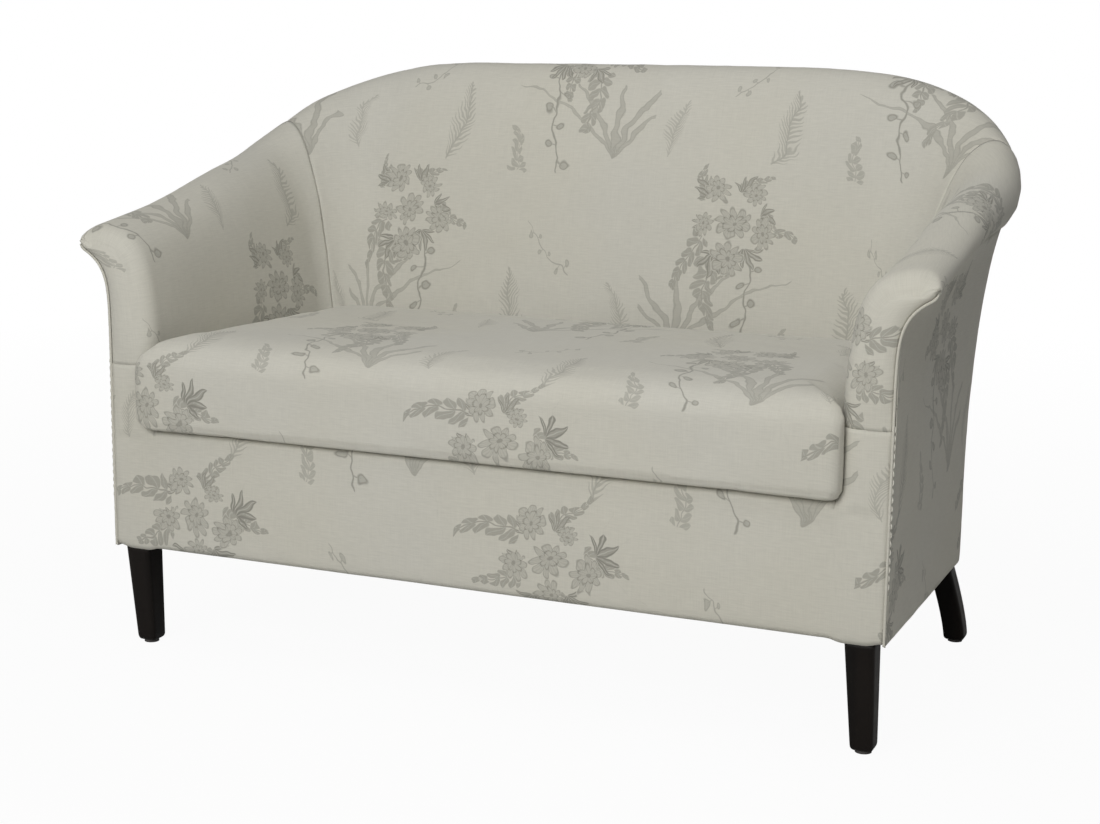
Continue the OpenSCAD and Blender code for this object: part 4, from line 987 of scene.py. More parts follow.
def seat_front():
    """Plate across the front with a sine fullness, an arc over the deck's edge, and two ears."""
    border_z = DECK_Z - DECK_EDGE_R
    front_z = float(section(np.array(0.0), np.array(float(BORDER_ROW)))[1])
    x_arm, x_out = HALF_W - ARM_WALL, HALF_W - 2.4
    columns = np.linspace(-x_arm, x_arm, 150)
    quarter = np.linspace(0, math.pi / 2, EDGE_STEPS)
    ears = np.concatenate([x_arm + EDGE_R * (1 - np.cos(quarter)),
                           np.linspace(x_arm + EDGE_R, x_out, 9)[1:]])
    xs = np.concatenate([-ears[::-1], columns[1:-1], ears])
    low = np.linspace(0, 1, 26)

    def front_y(x, z):
        """Depth behind the front plane: a circle at the soft inner edge, which fades out below."""
        inside = np.clip(x_arm + EDGE_R - np.abs(x), 0, EDGE_R)
        round_edge = EDGE_R - np.sqrt(EDGE_R**2 - inside**2)
        return np.where(np.abs(x) >= x_arm - 1e-6, round_edge * smooth((z - border_z) / 26.0), 0.0)

    def dip(x):
        """Drop of the lower line: one smooth step down at the leg's inner side, one up past it."""
        return LEG_DIP * smooth((np.abs(x) - 506.0) / 22.0) - END_RISE * smooth((np.abs(x) - 556.0) / 24.0)

    bottom = APRON_Z - dip(xs)
    z = bottom[None] + (border_z - bottom[None]) * low[:, None]
    x = np.repeat(xs[None], len(low), 0)
    height = np.clip((z - BASE_Z) / (border_z - BASE_Z), 0, 1)
    fill = swells(x, z, 131, 0.8) + 2.6 * np.sin(height * math.pi) ** 0.7
    fade = smooth((x_out - np.abs(x)) / 14.0)
    turn_under = 2.5 * (1 - smooth((z - bottom[None]) / 9.0))
    plate = np.stack([x, FRONT_Y + front_y(x, z) - fill * fade + turn_under, z], -1)
    mid = np.abs(xs) < x_arm + 1e-3
    a = np.linspace(0, math.pi / 2, 8)
    ys = np.concatenate([DECK_EDGE_R * (1 - np.cos(a)), np.linspace(DECK_EDGE_R, DECK_FLANGE, 7)[1:]])
    zs = np.concatenate([border_z + DECK_EDGE_R * np.sin(a), np.full(6, DECK_Z)])
    over = np.stack(np.broadcast_arrays(xs[mid][None], FRONT_Y + ys[:, None], zs[:, None]), -1)
    over[0] = plate[-1][mid]
    grids = [plate, over]
    maps = [np.stack([x, z], -1), np.stack([over[..., 0], border_z + run_along(over, 0)], -1)]
    for sign in (1, -1):
        pick = xs * sign > x_arm - 1e-3
        high = np.linspace(border_z, front_z - 0.4, 18)[:, None]
        ex = np.repeat(xs[pick][None], 18, 0)
        ez = high + 0 * ex
        ear_fill = (2.2 + swells(ex, ez, 137, 0.5)) * smooth((x_out - np.abs(ex)) / 14.0)
        ear_fill = ear_fill * mix(0.5, 1.0, smooth((front_z - ez) / 40.0))
        ear_fill = ear_fill * smooth((np.abs(ex) - x_arm) / 24.0) + valley(front_z - ez, 0.5, 2.0)
        ear = np.stack([ex, FRONT_Y + front_y(ex, ez) - ear_fill, ez], -1)
        ear[0] = plate[-1][pick]
        grids.append(ear)
        maps.append(np.stack([ex, ez], -1))
    outer, quads = joined(grids)
    uv = joined(maps)[0]
    first, quads = welded(outer, quads)
    piece = new_piece("seat_front", outer[first], quads, uv[first], linen_front)
    thick = piece.modifiers.new("padding", "SOLIDIFY")
    thick.thickness, thick.offset, thick.use_even_offset = BORDER_T * MM, -1.0, False
    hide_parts("front_border_cover", "front_border_pad")


seat_front()

# %% [markdown]
# ## Piping and hand stitches
# A cord in the same linen edges each arm front from the foot to the tip of the scroll. Beside it
# the outside cover is closed by hand with a curved needle, and its stitches show as a row of short
# light threads. The piping is a circle carried along the edge; each stitch is a thin rod, thicker
# in the middle, whose ends dip into the cloth.

# %% Piping
def tube(path, radius, sides):
    """Circle of `sides` points carried along a path, with a fan of triangles at each end; the
    circle turns with the path's direction. A triangle is a quad whose last corner is doubled."""
    tangent = np.gradient(path, axis=0)
    tangent /= np.linalg.norm(tangent, axis=1, keepdims=True)
    side = np.cross(tangent, [0.0, 1.0, 0.0])
    side /= np.maximum(np.linalg.norm(side, axis=1, keepdims=True), 1e-9)
    up = np.cross(side, tangent)
    a = np.linspace(0, 2 * math.pi, sides, endpoint=False)[None, :, None]
    radius = np.broadcast_to(np.asarray(radius, float).reshape(-1, 1, 1), (len(path), 1, 1))
    ring_points = path[:, None] + radius * (np.cos(a) * side[:, None] + np.sin(a) * up[:, None])
    points = ring_points.reshape(-1, 3)
    i = np.arange(len(path) * sides).reshape(len(path), sides)
    j = np.roll(i, -1, axis=1)
    quads = np.stack([i[:-1], i[1:], j[1:], j[:-1]], -1).reshape(-1, 4)
    start, end = np.full(sides, len(points)), np.full(sides, len(points) + 1)
    first, last = np.stack([i[0], j[0], start, start], -1), np.stack([j[-1], i[-1], end, end], -1)
    return np.vstack([points, path[:1], path[-1:]]), np.vstack([quads, first, last])


def edge_line(count, depth=0.0, lead=0.0):
    """Outer edge of the right arm front, from the foot up to the tip of the scroll, `depth` inside
    the wall and `lead` behind the front plane."""
    rows = even_rows(0, TIP_ROW - 1, 1.0, 0.0)
    out, z = deep_section(np.zeros_like(rows), rows, depth)
    line = np.stack([HALF_W + out, np.full_like(out, FRONT_Y + lead), z], -1)
    return along_line(line, np.linspace(0, 1, count))


def capped_piece(name, points, quads, material, body="sofa"):
    """Piece from quads of which some end in a doubled corner: those become triangles."""
    double = quads[:, 2] == quads[:, 3]
    piece = new_piece(name, points, quads[~double], points[:, [0, 2]], material, body)
    if double.any():
        work = bmesh.new()
        work.from_mesh(piece.data)
        work.verts.ensure_lookup_table()
        for corners in quads[double, :3]:
            work.faces.new([work.verts[number] for number in corners]).smooth = True
        bmesh.ops.recalc_face_normals(work, faces=work.faces)
        work.to_mesh(piece.data)
        work.free()
    return piece


def doubled_last(quads):
    """Faces turned on the spot until a doubled corner stands last."""
    quads = quads.copy()
    for _ in range(3):
        early = (quads[:, 2] != quads[:, 3]) & (quads == np.roll(quads, -1, axis=1)).any(axis=1)
        quads[early] = np.roll(quads[early], 1, axis=1)
    return quads


PIPING_R = 1.9
STITCHES, STITCH_HALF = 19, 4.4
STITCHED = (0.17, 0.60)                                     # shares of the edge
STITCH_RISE = np.array([-0.9, 0.4, 0.5, 0.4, -0.9])         # its ends dip into the cloth
STITCH_RADIUS = (0.5, 0.95, 1.0, 0.95, 0.5)


for label, sign in (("right", 1), ("left", -1)):
    line = edge_line(230, 1.0, 0.4)[1:]
    s = np.linspace(0, 1, len(line))
    radius = PIPING_R + 0.12 * value_noise(s * 900, s * 0, 9.0, 5) - 0.8 * smooth((s - 0.985) / 0.015)
    points, quads = tube(line, radius, 14)
    if sign < 0:
        points, quads = mirrored(points, quads)
    piece = capped_piece(f"piping_{label}", points, quads, linen_piping)
    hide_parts(f"arm_piping_{label}")

    spots = along_line(edge_line(400, -1.2, 1.6), np.linspace(*STITCHED, STITCHES))
    ahead = np.gradient(spots, axis=0)
    ahead /= np.linalg.norm(ahead, axis=1, keepdims=True)
    stitch_points, stitch_quads, start = [], [], 0
    for number in range(STITCHES):
        lean = np.array([0.0, 0.1 * (-1) ** number, 0.0])
        ends = spots[number] + np.linspace(-STITCH_HALF, STITCH_HALF, 5)[:, None] * (ahead[number] + lean)
        ends = ends + STITCH_RISE[:, None] * np.array([1.0, -0.4, 0.0])
        p, q = tube(ends, STITCH_RADIUS, 8)
        stitch_points.append(p)
        stitch_quads.append(q + start)
        start += len(p)
    points, quads = np.vstack(stitch_points), np.vstack(stitch_quads)
    if sign < 0:
        points, quads = mirrored(points, quads)
    capped_piece(f"stitches_{label}", points, quads, linen_thread)

# %% [markdown]
# ## Bench cushion
# A loose foam block in a sewn cover. Its front stands a little proud of the arms and its ends spread
# round their soft edges. The cloth simulation starts from a block a few millimetres too wide, whose
# cover draws its edges in and fills its faces under pressure, as a real one does. It is then held
# to its place, and the lower seam, the zip's hollow and the wrinkles are pressed in. The plan loop
# is the same as in the CAD model.

# %% Cushion loop and first shape
CUSHION_Z, CUSHION_H, CUSHION_GAP = DECK_Z + 0.3, 130.0, 2.0
PROUD, LIP, DRAW_IN = 22.0, 16.0, 4.0
CUSHION_X = HALF_W - ARM_WALL - CUSHION_GAP
LIP_X = CUSHION_X + LIP
ARM_END, CORNER_END = ARM_RUN / WAY, (ARM_RUN + CORNER_RUN) / WAY


def cushion_loop(count):
    """Plan of the cushion from the middle of the front round the right end to the middle again:
    a shallow sine in front, a lip round the arm's edge, then the wall's inside and a small gap."""
    t = np.concatenate([np.linspace((EDGE_R + 6) / WAY, ARM_END, 30),
                        np.linspace(ARM_END, CORNER_END, 30)[1:], np.linspace(CORNER_END, 1, 30)[1:]])
    x, y, nx, ny = base_line(t)
    gap = mix(ARM_WALL, BACK_WALL, back_share(t)) + CUSHION_GAP
    side = np.stack([x - nx * gap, y - ny * gap], -1)
    front_x = LIP_X - 16
    lip = np.array([[front_x, -PROUD], [LIP_X - 5, -PROUD * 0.87], [LIP_X, -PROUD * 0.5],
                    [LIP_X - 1, -4.0], [mix(CUSHION_X, LIP_X, 0.55), EDGE_R * 0.12],
                    [CUSHION_X + 1.5, EDGE_R * 0.6]])
    u = np.linspace(0.5, 1, 30)[:-1]
    front = np.stack([mix(-front_x, front_x, u), -PROUD + DRAW_IN * np.sin(math.pi * u)], -1)
    half = np.vstack([front, lip, side])
    half = along_line(half, np.linspace(0, 1, count // 2 + 1))
    whole = np.vstack([half, (half * [-1, 1])[::-1][1:-1]])
    return whole + [0, FRONT_Y]


def block_grid(loop, levels, middle, reach):
    """Loop scaled towards the middle so that each side moves in by a level's insets in X and Y;
    a level is the two insets and a height."""
    inset, z = levels[:, :-1][:, None], levels[:, -1][:, None]
    scale = 1 - inset / np.array(reach)[None, None]
    plan = middle + (loop[None] - middle) * scale
    return np.concatenate([plan, np.broadcast_to(z[..., None], (*plan.shape[:2], 1))], -1)


def capped(grid):
    """Closed surface from rings of points, with a fan at each end whose quads end in a doubled
    corner, the middle of the fan."""
    rows, cols = grid.shape[:2]
    i = np.arange(rows * cols).reshape(rows, cols)
    j = np.roll(i, -1, axis=1)
    quads = np.stack([i[:-1], j[:-1], j[1:], i[1:]], -1).reshape(-1, 4)
    points = np.vstack([grid.reshape(-1, 3), grid[0].mean(0), grid[-1].mean(0)])
    n = rows * cols
    low = np.stack([j[0], i[0], np.full(cols, n), np.full(cols, n)], -1)
    high = np.stack([i[-1], j[-1], np.full(cols, n + 1), np.full(cols, n + 1)], -1)
    return points, np.vstack([quads, low, high])


MIDDLE = np.array([0.0, FRONT_Y + (TUB_D - BACK_WALL - PROUD) / 2])
REACH = (LIP_X, (TUB_D - BACK_WALL + PROUD) / 2)
loop = cushion_loop(220)
LOW_R, TIGHT_R, HIGH_R, HIGH_DEEP = 15.0, 9.0, 36.0, 32.0
SUNK = 3.0              # the upper edge starts this much below the full height
CROWN_RISE = 9.0        # and the middle rises this much above the edge
SPARE = 6.0             # the cloth draws the sides in by about this much


def cushion_levels(inset):
    """Profile of the border as insets in X and Y and a height: the lower edge is round at the ends
    and tight along the front, the upper edge is wide and soft, the crown a power of the inset."""
    top = CUSHION_Z + CUSHION_H - SUNK
    a = np.linspace(0, math.pi / 2, 9)
    rise = LOW_R * (1 - np.cos(a))
    tight = TIGHT_R - np.sqrt(TIGHT_R**2 - (TIGHT_R - np.minimum(rise, TIGHT_R)) ** 2)
    low = np.stack([inset + LOW_R * (1 - np.sin(a)), inset + tight, CUSHION_Z + rise], -1)
    b = np.linspace(0, math.pi / 2, 12)
    high = np.stack([inset + HIGH_R * (1 - np.cos(b)), inset + HIGH_DEEP * (1 - np.cos(b)),
                     top - HIGH_R + HIGH_R * np.sin(b)], -1)
    side_z = np.linspace(low[-1, 2], high[0, 2], 8)[1:-1]
    side = np.stack(np.broadcast_arrays(inset, inset, side_z), -1)
    far = np.array([240.0, 160, 90, 45])
    inner_low = np.stack(np.broadcast_arrays(far, far, CUSHION_Z), -1)
    far = np.array([50.0, 85, 125, 165, 205, 240])
    inner_high = np.stack([far, far, top + CROWN_RISE * (1 - (1 - far / REACH[1]) ** 2.4)], -1)
    return np.vstack([inner_low, low, side, high, inner_high])


points, quads = capped(block_grid(loop, cushion_levels(-SPARE), MIDDLE, REACH))
cushion = capped_piece("bench_cushion", points, quads, linen_cushion, body="cushion")

# %% Blowing up the cover
CLOTH_FRAMES = 20


def active_apply(piece, modifier):
    """Applies one modifier of a piece."""
    bpy.context.view_layer.objects.active = piece
    bpy.ops.object.modifier_apply(modifier=modifier)


def read_points(piece):
    """Places of all vertices in metres, one row each."""
    co = np.empty(len(piece.data.vertices) * 3, np.float32)
    piece.data.vertices.foreach_get("co", co)
    return co.reshape(-1, 3).astype(float)


def write_points(piece, co):
    """Puts the places of all vertices back."""
    piece.data.vertices.foreach_set("co", co.astype(np.float32).ravel())
    piece.data.update()


def blown(piece, voxel, pressure, cap):
    """Remesh, some frames of cloth under pressure without gravity, no point moving beyond the cap."""
    remesh = piece.modifiers.new("even skin", "REMESH")
    remesh.mode, remesh.voxel_size, remesh.use_smooth_shade = "VOXEL", voxel, True
    active_apply(piece, remesh.name)
    start = read_points(piece)
    cloth = piece.modifiers.new("cloth", "CLOTH")
    cloth.settings.use_pressure = True
    cloth.settings.uniform_pressure_force = pressure
    cloth.settings.effector_weights.gravity = 0
    cloth.settings.quality = 4
    cloth.collision_settings.use_collision = False
    scene = bpy.context.scene
    for number in range(1, CLOTH_FRAMES + 1):
        scene.frame_set(number)
    active_apply(piece, cloth.name)
    scene.frame_set(1)
    moved = read_points(piece) - start
    length = np.linalg.norm(moved, axis=1, keepdims=True)
    write_points(piece, start + moved * np.minimum(1, cap / np.maximum(length, 1e-9)))
    print("cloth moved", round(float(length.mean() / MM), 1), "mm on average")


# %% The limits of its place
def plan_distance(xy, loop):
    """Distance of plan points to the loop, positive inside, and the inward direction there."""
    best = np.full(len(xy), 1e9)
    signed, inward = np.zeros(len(xy)), np.zeros_like(xy)
    for start, end in zip(loop, np.roll(loop, -1, axis=0)):
        d = end - start
        n = np.array([-d[1], d[0]]) / np.linalg.norm(d)
        gap = xy - start - np.clip(((xy - start) @ d) / (d @ d), 0, 1)[:, None] * d
        far = np.linalg.norm(gap, axis=1)
        nearer = far < best
        best[nearer], inward[nearer] = far[nearer], n
        signed[nearer] = (far * np.sign(gap @ n))[nearer]
    return signed, inward


SPREAD = 7.0            # what stands over a limit spreads at most this far past it
CROWN_LIMIT = CUSHION_Z + CUSHION_H + 9.0
LEFT_SHIFT, RIGHT_SHIFT = -8.0, -5.0    # the front corners lie a little to the left
SEAM_Z, SEAM_DEEP, SEAM_W = 9.0, 1.8, 2.6


def softened(over):
    """Part of an overhang that stays: all of a small one, at most SPREAD of a large one."""
    return SPREAD * (1 - np.exp(-over / SPREAD))


def held(p):
    """Points kept in their place: flat below, pressed against arms and back, a level crown."""
    inside, inward = plan_distance(p[:, :2], loop)
    outside = np.maximum(-inside, 0)
    free = smooth((FRONT_Y + 2 - p[:, 1]) / 8.0) * softened(outside)
    p[:, :2] += inward * (outside - free)[:, None]
    p[:, 2] = np.maximum(p[:, 2], CUSHION_Z)
    over = np.maximum(p[:, 2] - CROWN_LIMIT, 0.0)
    p[:, 2] -= over - softened(over)
    return p, np.maximum(inside, 0), inward


def sewn(p, inside, inward):
    """Points with the corners' lean, the lower seam as a Gaussian groove, swells, wrinkles as
    bent sines on the top, and the hollow in which the zip's tape lies."""
    above = p[:, 2] - CUSHION_Z
    ear = smooth((np.abs(p[:, 0]) - 400) / 120) * smooth((FRONT_Y - 1 - p[:, 1]) / 9)
    belly = smooth((above + 14) / 34.0) * smooth((155.0 - above) / 80.0)
    p[:, 0] += np.where(p[:, 0] < 0, LEFT_SHIFT, RIGHT_SHIFT) * ear * belly
    edge = np.exp(-(inside / 14.0) ** 2)
    p[:, :2] += inward * (SEAM_DEEP * np.exp(-((above - SEAM_Z) / SEAM_W) ** 2) * edge)[:, None]
    full = swells(p[:, 0] + p[:, 1], p[:, 2], 201, 0.8)
    p[:, :2] -= inward * (full * edge * smooth((above - 12) / 20))[:, None]
    top = smooth((above - 60.0) / 50.0) * smooth((inside - 8.0) / 40.0)
    fold = np.sin(p[:, 1] / 9.0 + 2.2 * value_noise(p[:, 0], p[:, 1], 140.0, 211))
    fold = fold * np.maximum(value_noise(p[:, 0], p[:, 1], 170.0, 215), 0)
    p[:, 2] += top * (swells(p[:, 0], p[:, 1], 205, 1.1) + 0.9 * fold)
    zip_low, zip_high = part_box("cushion_zip")
    back = zip_low.y / MM - 0.6
    tape = smooth((zip_high.x / MM + 5 - np.abs(p[:, 0])) / 5.0)
    tape = tape * smooth((zip_high.z / MM + 3 - p[:, 2]) / 3.0)
    tape = tape * smooth((p[:, 2] - zip_low.z / MM + 3) / 3.0)
    p[:, 1] = np.where(p[:, 1] > back, mix(p[:, 1], back, tape), p[:, 1])
    return p


def settle(piece, seam):
    """Holds the cushion to its place; with seam on, its sewing is pressed in as well."""
    p, inside, inward = held(read_points(piece) / MM)
    write_points(piece, (sewn(p, inside, inward) if seam else p) * MM)


blown(cushion, voxel=7 * MM, pressure=4.0, cap=9 * MM)
settle(cushion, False)
finer = cushion.modifiers.new("finer", "SUBSURF")
finer.levels = finer.render_levels = 1
active_apply(cushion, finer.name)
settle(cushion, True)
print("cushion box", np.round(read_points(cushion).min(0), 4), np.round(read_points(cushion).max(0), 4))
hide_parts("cushion_cover", "cushion_core")


# %% Cloth map of the finished cushion
def map_cloth(piece):
    """Cloth map by the direction of each face: sides take Y and Z, the rest X and Y + Z."""
    mesh = piece.data
    layer = mesh.uv_layers.get("cloth") or mesh.uv_layers.new(name="cloth")
    normal = np.empty(len(mesh.polygons) * 3, np.float32)
    mesh.polygons.foreach_get("normal", normal)
    totals = np.empty(len(mesh.polygons), np.int32)
    mesh.polygons.foreach_get("loop_total", totals)
    normal = np.repeat(normal.reshape(-1, 3), totals, axis=0)
    corner = np.empty(len(mesh.loops), np.int32)
    mesh.loops.foreach_get("vertex_index", corner)
    p = read_points(piece)[corner]
    x_face = np.abs(normal[:, 0]) > 0.75
    u = np.where(x_face, p[:, 1], p[:, 0])
    v = np.where(x_face, p[:, 2], p[:, 1] + p[:, 2])
    layer.data.foreach_set("uv", np.stack([u, v], -1).astype(np.float32).ravel())


map_cloth(cushion)

# %% [markdown]
# ## Seat deck and underside
# Under the cushion lies a padded deck in plain lining, which nobody sees until the cushion is
# lifted. Below, a thin black cloth is stapled over the frame to keep the dust in.

# %% Plain cloths
def plain_cloth(name, colour, rough, fibre, depth):
    """Felted or plain cloth: colour varied by fine fibres, bump from the same fibres."""
    material, tree, shader = new_material(name)
    places = tree.nodes.new("ShaderNodeTexCoord")
    here = places.outputs["Object"]
    fibres = noise(tree, here, fibre, 3.0, rough=0.65)
    cloud = noise(tree, here, 12.0, 2.0)
    tone = (fibres - 0.5) * 0.5 + (cloud - 0.5) * 0.2 + 1.0
    flat = blended(tree, cloud, colour, tuple(c * 0.92 for c in colour))
    tree.links.new(times(tree, flat, tone).socket, shader.inputs["Base Color"])
    shader.inputs["Roughness"].default_value = rough
    shader.inputs["Sheen Weight"].default_value = 0.15
    bump(tree, shader, fibres, 0.4, depth)
    return material


deck_cloth = plain_cloth("deck_lining", (0.34, 0.32, 0.27), 0.92, 900.0, 0.0006)
dust_cloth = plain_cloth("dust_cloth", (0.028, 0.028, 0.03), 0.9, 1300.0, 0.0004)


def plan_loop(depth, count=160):
    """Loop at a depth inside the wall's foot, a number or a function of the way, from the right
    arm front round to the left one."""
    v = np.linspace(0.0, 2.0, count)
    t = np.where(v <= 1, v, 2 - v)
    x, y, nx, ny = base_line(t)
    gap = depth(t) if callable(depth) else depth
    return np.stack([np.where(v <= 1, 1, -1) * (x - nx * gap), y - ny * gap + FRONT_Y], -1)


def even_loop(line, count=180):
    """The closed loop with even spacing, its middle, and its half width and half depth."""
    line = along_line(np.vstack([line, line[:1]]), np.linspace(0, 1, count + 1)[:-1])
    low, high = line.min(0), line.max(0)
    return line, np.array([0.0, (low[1] + high[1]) / 2]), (high[0], (high[1] - low[1]) / 2)


# %% Seat deck
DECK_START = FRONT_Y + 47.5     # behind the flange of the seat front
DECK_PROFILE = np.array([[200, 308.6], [100, 308.6], [30, 308.6], [0.6, 308.6], [0, 312], [0, 331],
                         [1.5, 335], [5, 337.4], [14, 337.9], [50, 337.9], [100, 337.9],
                         [150, 337.9], [200, 337.9]])       # insets and heights
TOP_LEVEL = 7
line = plan_loop(lambda t: mix(ARM_WALL, BACK_WALL, back_share(t)) + 0.3)
line = line[line[:, 1] > DECK_START]
line = np.vstack([[line[0][0], DECK_START], line, [line[-1][0], DECK_START]])
line, middle, reach = even_loop(line)
grid = block_grid(line, DECK_PROFILE[:, [0, 0, 1]], middle, reach)
top = grid[TOP_LEVEL:]
top[..., 2] -= 0.8 + 0.7 * value_noise(top[..., 0], top[..., 1], 70.0, 3)
points, quads = capped(grid)
deck = capped_piece("seat_deck", points, quads, deck_cloth)
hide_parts("seat_pad")

# %% Underside cloth
DUST_Z, DUST_T, DUST_EDGE = BASE_Z + 0.2, 0.8, 3.2
DUST_START = FRONT_Y + 12.5     # behind the seat front
INSETS = np.array([0.0, 4, 12, 26, 45, 70, 100, 140, 180, 230, 280])
line = plan_loop(DUST_EDGE)
line[:, 1] = np.maximum(line[:, 1], DUST_START)
line, middle, reach = even_loop(line)
grid = block_grid(line, np.stack(np.broadcast_arrays(INSETS, INSETS, DUST_Z), -1), middle, reach)
sag = 0.5 * value_noise(grid[..., 0], grid[..., 1], 60.0, 8)
grid[..., 2] += sag * smooth((INSETS[:, None] - 12.0) / 40.0)
points, quads = capped(grid)
outer_fan = len(points) - 2     # the cloth is open at its rim, so the fan over it goes
quads = quads[(quads != outer_fan).all(axis=1)][:, ::-1]
points, quads = closed(points, points + [0, 0, DUST_T], quads)
used, quads = np.unique(quads, return_inverse=True)
underside = capped_piece("underside_cloth", points[used], doubled_last(quads.reshape(-1, 4)), dust_cloth)
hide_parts("dust_cover")
size = line.max(0) - line.min(0)
x, y = line.T
loop_area = 0.5 * abs(np.sum(x * np.roll(y, -1) - np.roll(x, -1) * y))

# %% [markdown]
# ## Legs
# Four dark square legs. The front ones taper and stand a little back at the foot; the rear ones
# curve outwards behind. A rounded square is carried down the leg's axis, and its corners and toe
# are rounded as a spokeshave and sandpaper leave them.

# %% Wood
def wood_group():
    """Grain along Z of the given vector: stretched noise for the pores, slow waves for the rings."""
    tree, at, give = new_group("wood grain", [("Along", "vector")],
                               [("Rings", "number"), ("Pores", "number")])
    place = at["Along"].socket
    slow = noise(tree, place, 1.0, 3.0, (28.0, 28.0, 2.2))
    x = split(tree, place)[0]
    rings = (slow * 9.0 + x * 60.0).sin() * 0.5 + 0.5
    pores = noise(tree, place, 1.0, 3.0, (900.0, 900.0, 22.0), 0.6)
    give("Rings", rings)
    give("Pores", pores)
    return tree


WOOD = wood_group()


def wood(name, dark, light, rough, turn_to=(0.0, 0.0, 0.0)):
    """Wood material, dark to light by rings and pores; turn_to lays the grain along the parts."""
    material, tree, shader = new_material(name)
    places = tree.nodes.new("ShaderNodeTexCoord")
    turned = tree.nodes.new("ShaderNodeMapping")
    turned.inputs["Rotation"].default_value = turn_to
    tree.links.new(places.outputs["Object"], turned.inputs["Vector"])
    grain = use_group(tree, WOOD, Along=Field(tree, turned.outputs[0]))
    colour = blended(tree, (grain["Rings"] * 0.55 + grain["Pores"] * 0.6 - 0.1).least(1.0), dark, light)
    tree.links.new(colour.socket, shader.inputs["Base Color"])
    worn = noise(tree, places.outputs["Object"], 40.0, 3.0)
    worn = (worn - 0.5) * 0.25 + grain["Pores"] * 0.1 + rough - 0.05
    tree.links.new(worn.socket, shader.inputs["Roughness"])
    bump(tree, shader, grain["Pores"], 0.25, 0.0004)
    return material


leg_wood = wood("dark_stained_wood", (0.0030, 0.0024, 0.0020), (0.0085, 0.0060, 0.0046), 0.46)
leg_wood.node_tree.nodes["Principled BSDF"].inputs["Specular IOR Level"].default_value = 0.13
beech = wood("beech", (0.47, 0.29, 0.15), (0.62, 0.43, 0.25), 0.6, (0.0, math.pi / 2, 0.0))
plywood = wood("birch_plywood", (0.56, 0.41, 0.25), (0.70, 0.56, 0.38), 0.62, (math.pi / 2, 0.0, 0.0))

# %% Rounded square legs
def rounded_square(count, corner):
    """Unit square from -1 to 1 whose corners are rounded by a superellipse, as `count` points."""
    a = np.linspace(0, 2 * math.pi, count, endpoint=False) + math.pi / count
    c, s = np.cos(a), np.sin(a)
    p = 2.0 / corner
    scale = (np.abs(c) ** p + np.abs(s) ** p) ** (-1.0 / p)
    return np.stack([c * scale, s * scale], -1)


TOE_Z = np.array([4.0, 4.6, 6.0, 8.2, 11.0])       # the rounding of the toe, above the glide
TOE_IN = np.array([5.0, 3.2, 1.6, 0.5, 0.05])
LEG_SIDES, LEG_CORNER = 48, 0.22


def leg(name, node, top, foot, top_w, foot_w, bow, sign):
    """Loft from the toe up to the head; the axis is a power curve of the height."""
    z = np.concatenate([TOE_Z, np.linspace(16.0, BASE_Z, 22)])
    u = np.clip((z - 10.0) / (BASE_Z - 10.0), 0, 1)
    w = mix(foot_w, top_w, u) / 2
    w[:len(TOE_IN)] -= TOE_IN
    axis = mix(np.array(foot)[None], np.array(top)[None], (u**bow)[:, None])
    square = rounded_square(LEG_SIDES, LEG_CORNER)
    plan = axis[:, None] + w[:, None, None] * square[None]
    grid = np.concatenate([plan, np.broadcast_to(z[:, None, None], (*plan.shape[:2], 1))], -1)
    grid[..., 1] += FRONT_Y
    points, quads = capped(grid)
    if sign < 0:
        points, quads = mirrored(points, quads)
    piece = capped_piece(name, points, doubled_last(quads), leg_wood)
    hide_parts(node)


FRONT_BOLT, FRONT_FOOT = (549.1, 24.2), (552.1, 40.2)
REAR_A = math.radians(34.0)
REAR_R = CORNER_R - 24.9            # bolt circle of the rear legs round the corner's centre
REAR_TOE = 16.0                     # from the middle of the rear foot to its outer faces
REAR_BOLT = (HALF_W - CORNER_R + REAR_R * math.cos(REAR_A), ARM_RUN + REAR_R * math.sin(REAR_A))
for label, sign in (("right", 1), ("left", -1)):
    low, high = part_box(f"rear_leg_{label}")
    rear_foot = ((high.x if sign > 0 else -low.x) / MM - REAR_TOE, high.y / MM - FRONT_Y - REAR_TOE)
    leg(f"leg_front_{label}", f"front_leg_{label}", FRONT_BOLT, FRONT_FOOT, 40.0, 31.0, 1.0, sign)
    leg(f"leg_rear_{label}", f"rear_leg_{label}", REAR_BOLT, rear_foot, 35.0, 32.0, 1.3, sign)

# %% [markdown]
# ## Finishes of the frame's own parts
# The frame, the springs and the fixings keep their CAD shapes and get real finishes: planed beech
# for the rails, birch plywood for what is cut to shape, spring steel, moulded glides and a woven
# zip tape.

# %% Metals, plastics and tape
def steel(name, colour, rough, scratch):
    """Metal whose tone varies in blotches and whose roughness and bump come from fine scratches."""
    material, tree, shader = new_material(name)
    places = tree.nodes.new("ShaderNodeTexCoord")
    fine = noise(tree, places.outputs["Object"], scratch, 4.0, (1.0, 6.0, 1.0))
    blotch = noise(tree, places.outputs["Object"], 30.0, 2.0)
    tree.links.new(blended(tree, blotch, colour, tuple(c * 0.8 for c in colour)).socket,
                   shader.inputs["Base Color"])
    tree.links.new(((fine - 0.5) * 0.3 + (blotch - 0.5) * 0.2 + rough).socket, shader.inputs["Roughness"])
    shader.inputs["Metallic"].default_value = 1.0
    bump(tree, shader, fine, 0.15, 0.0002)
    return material


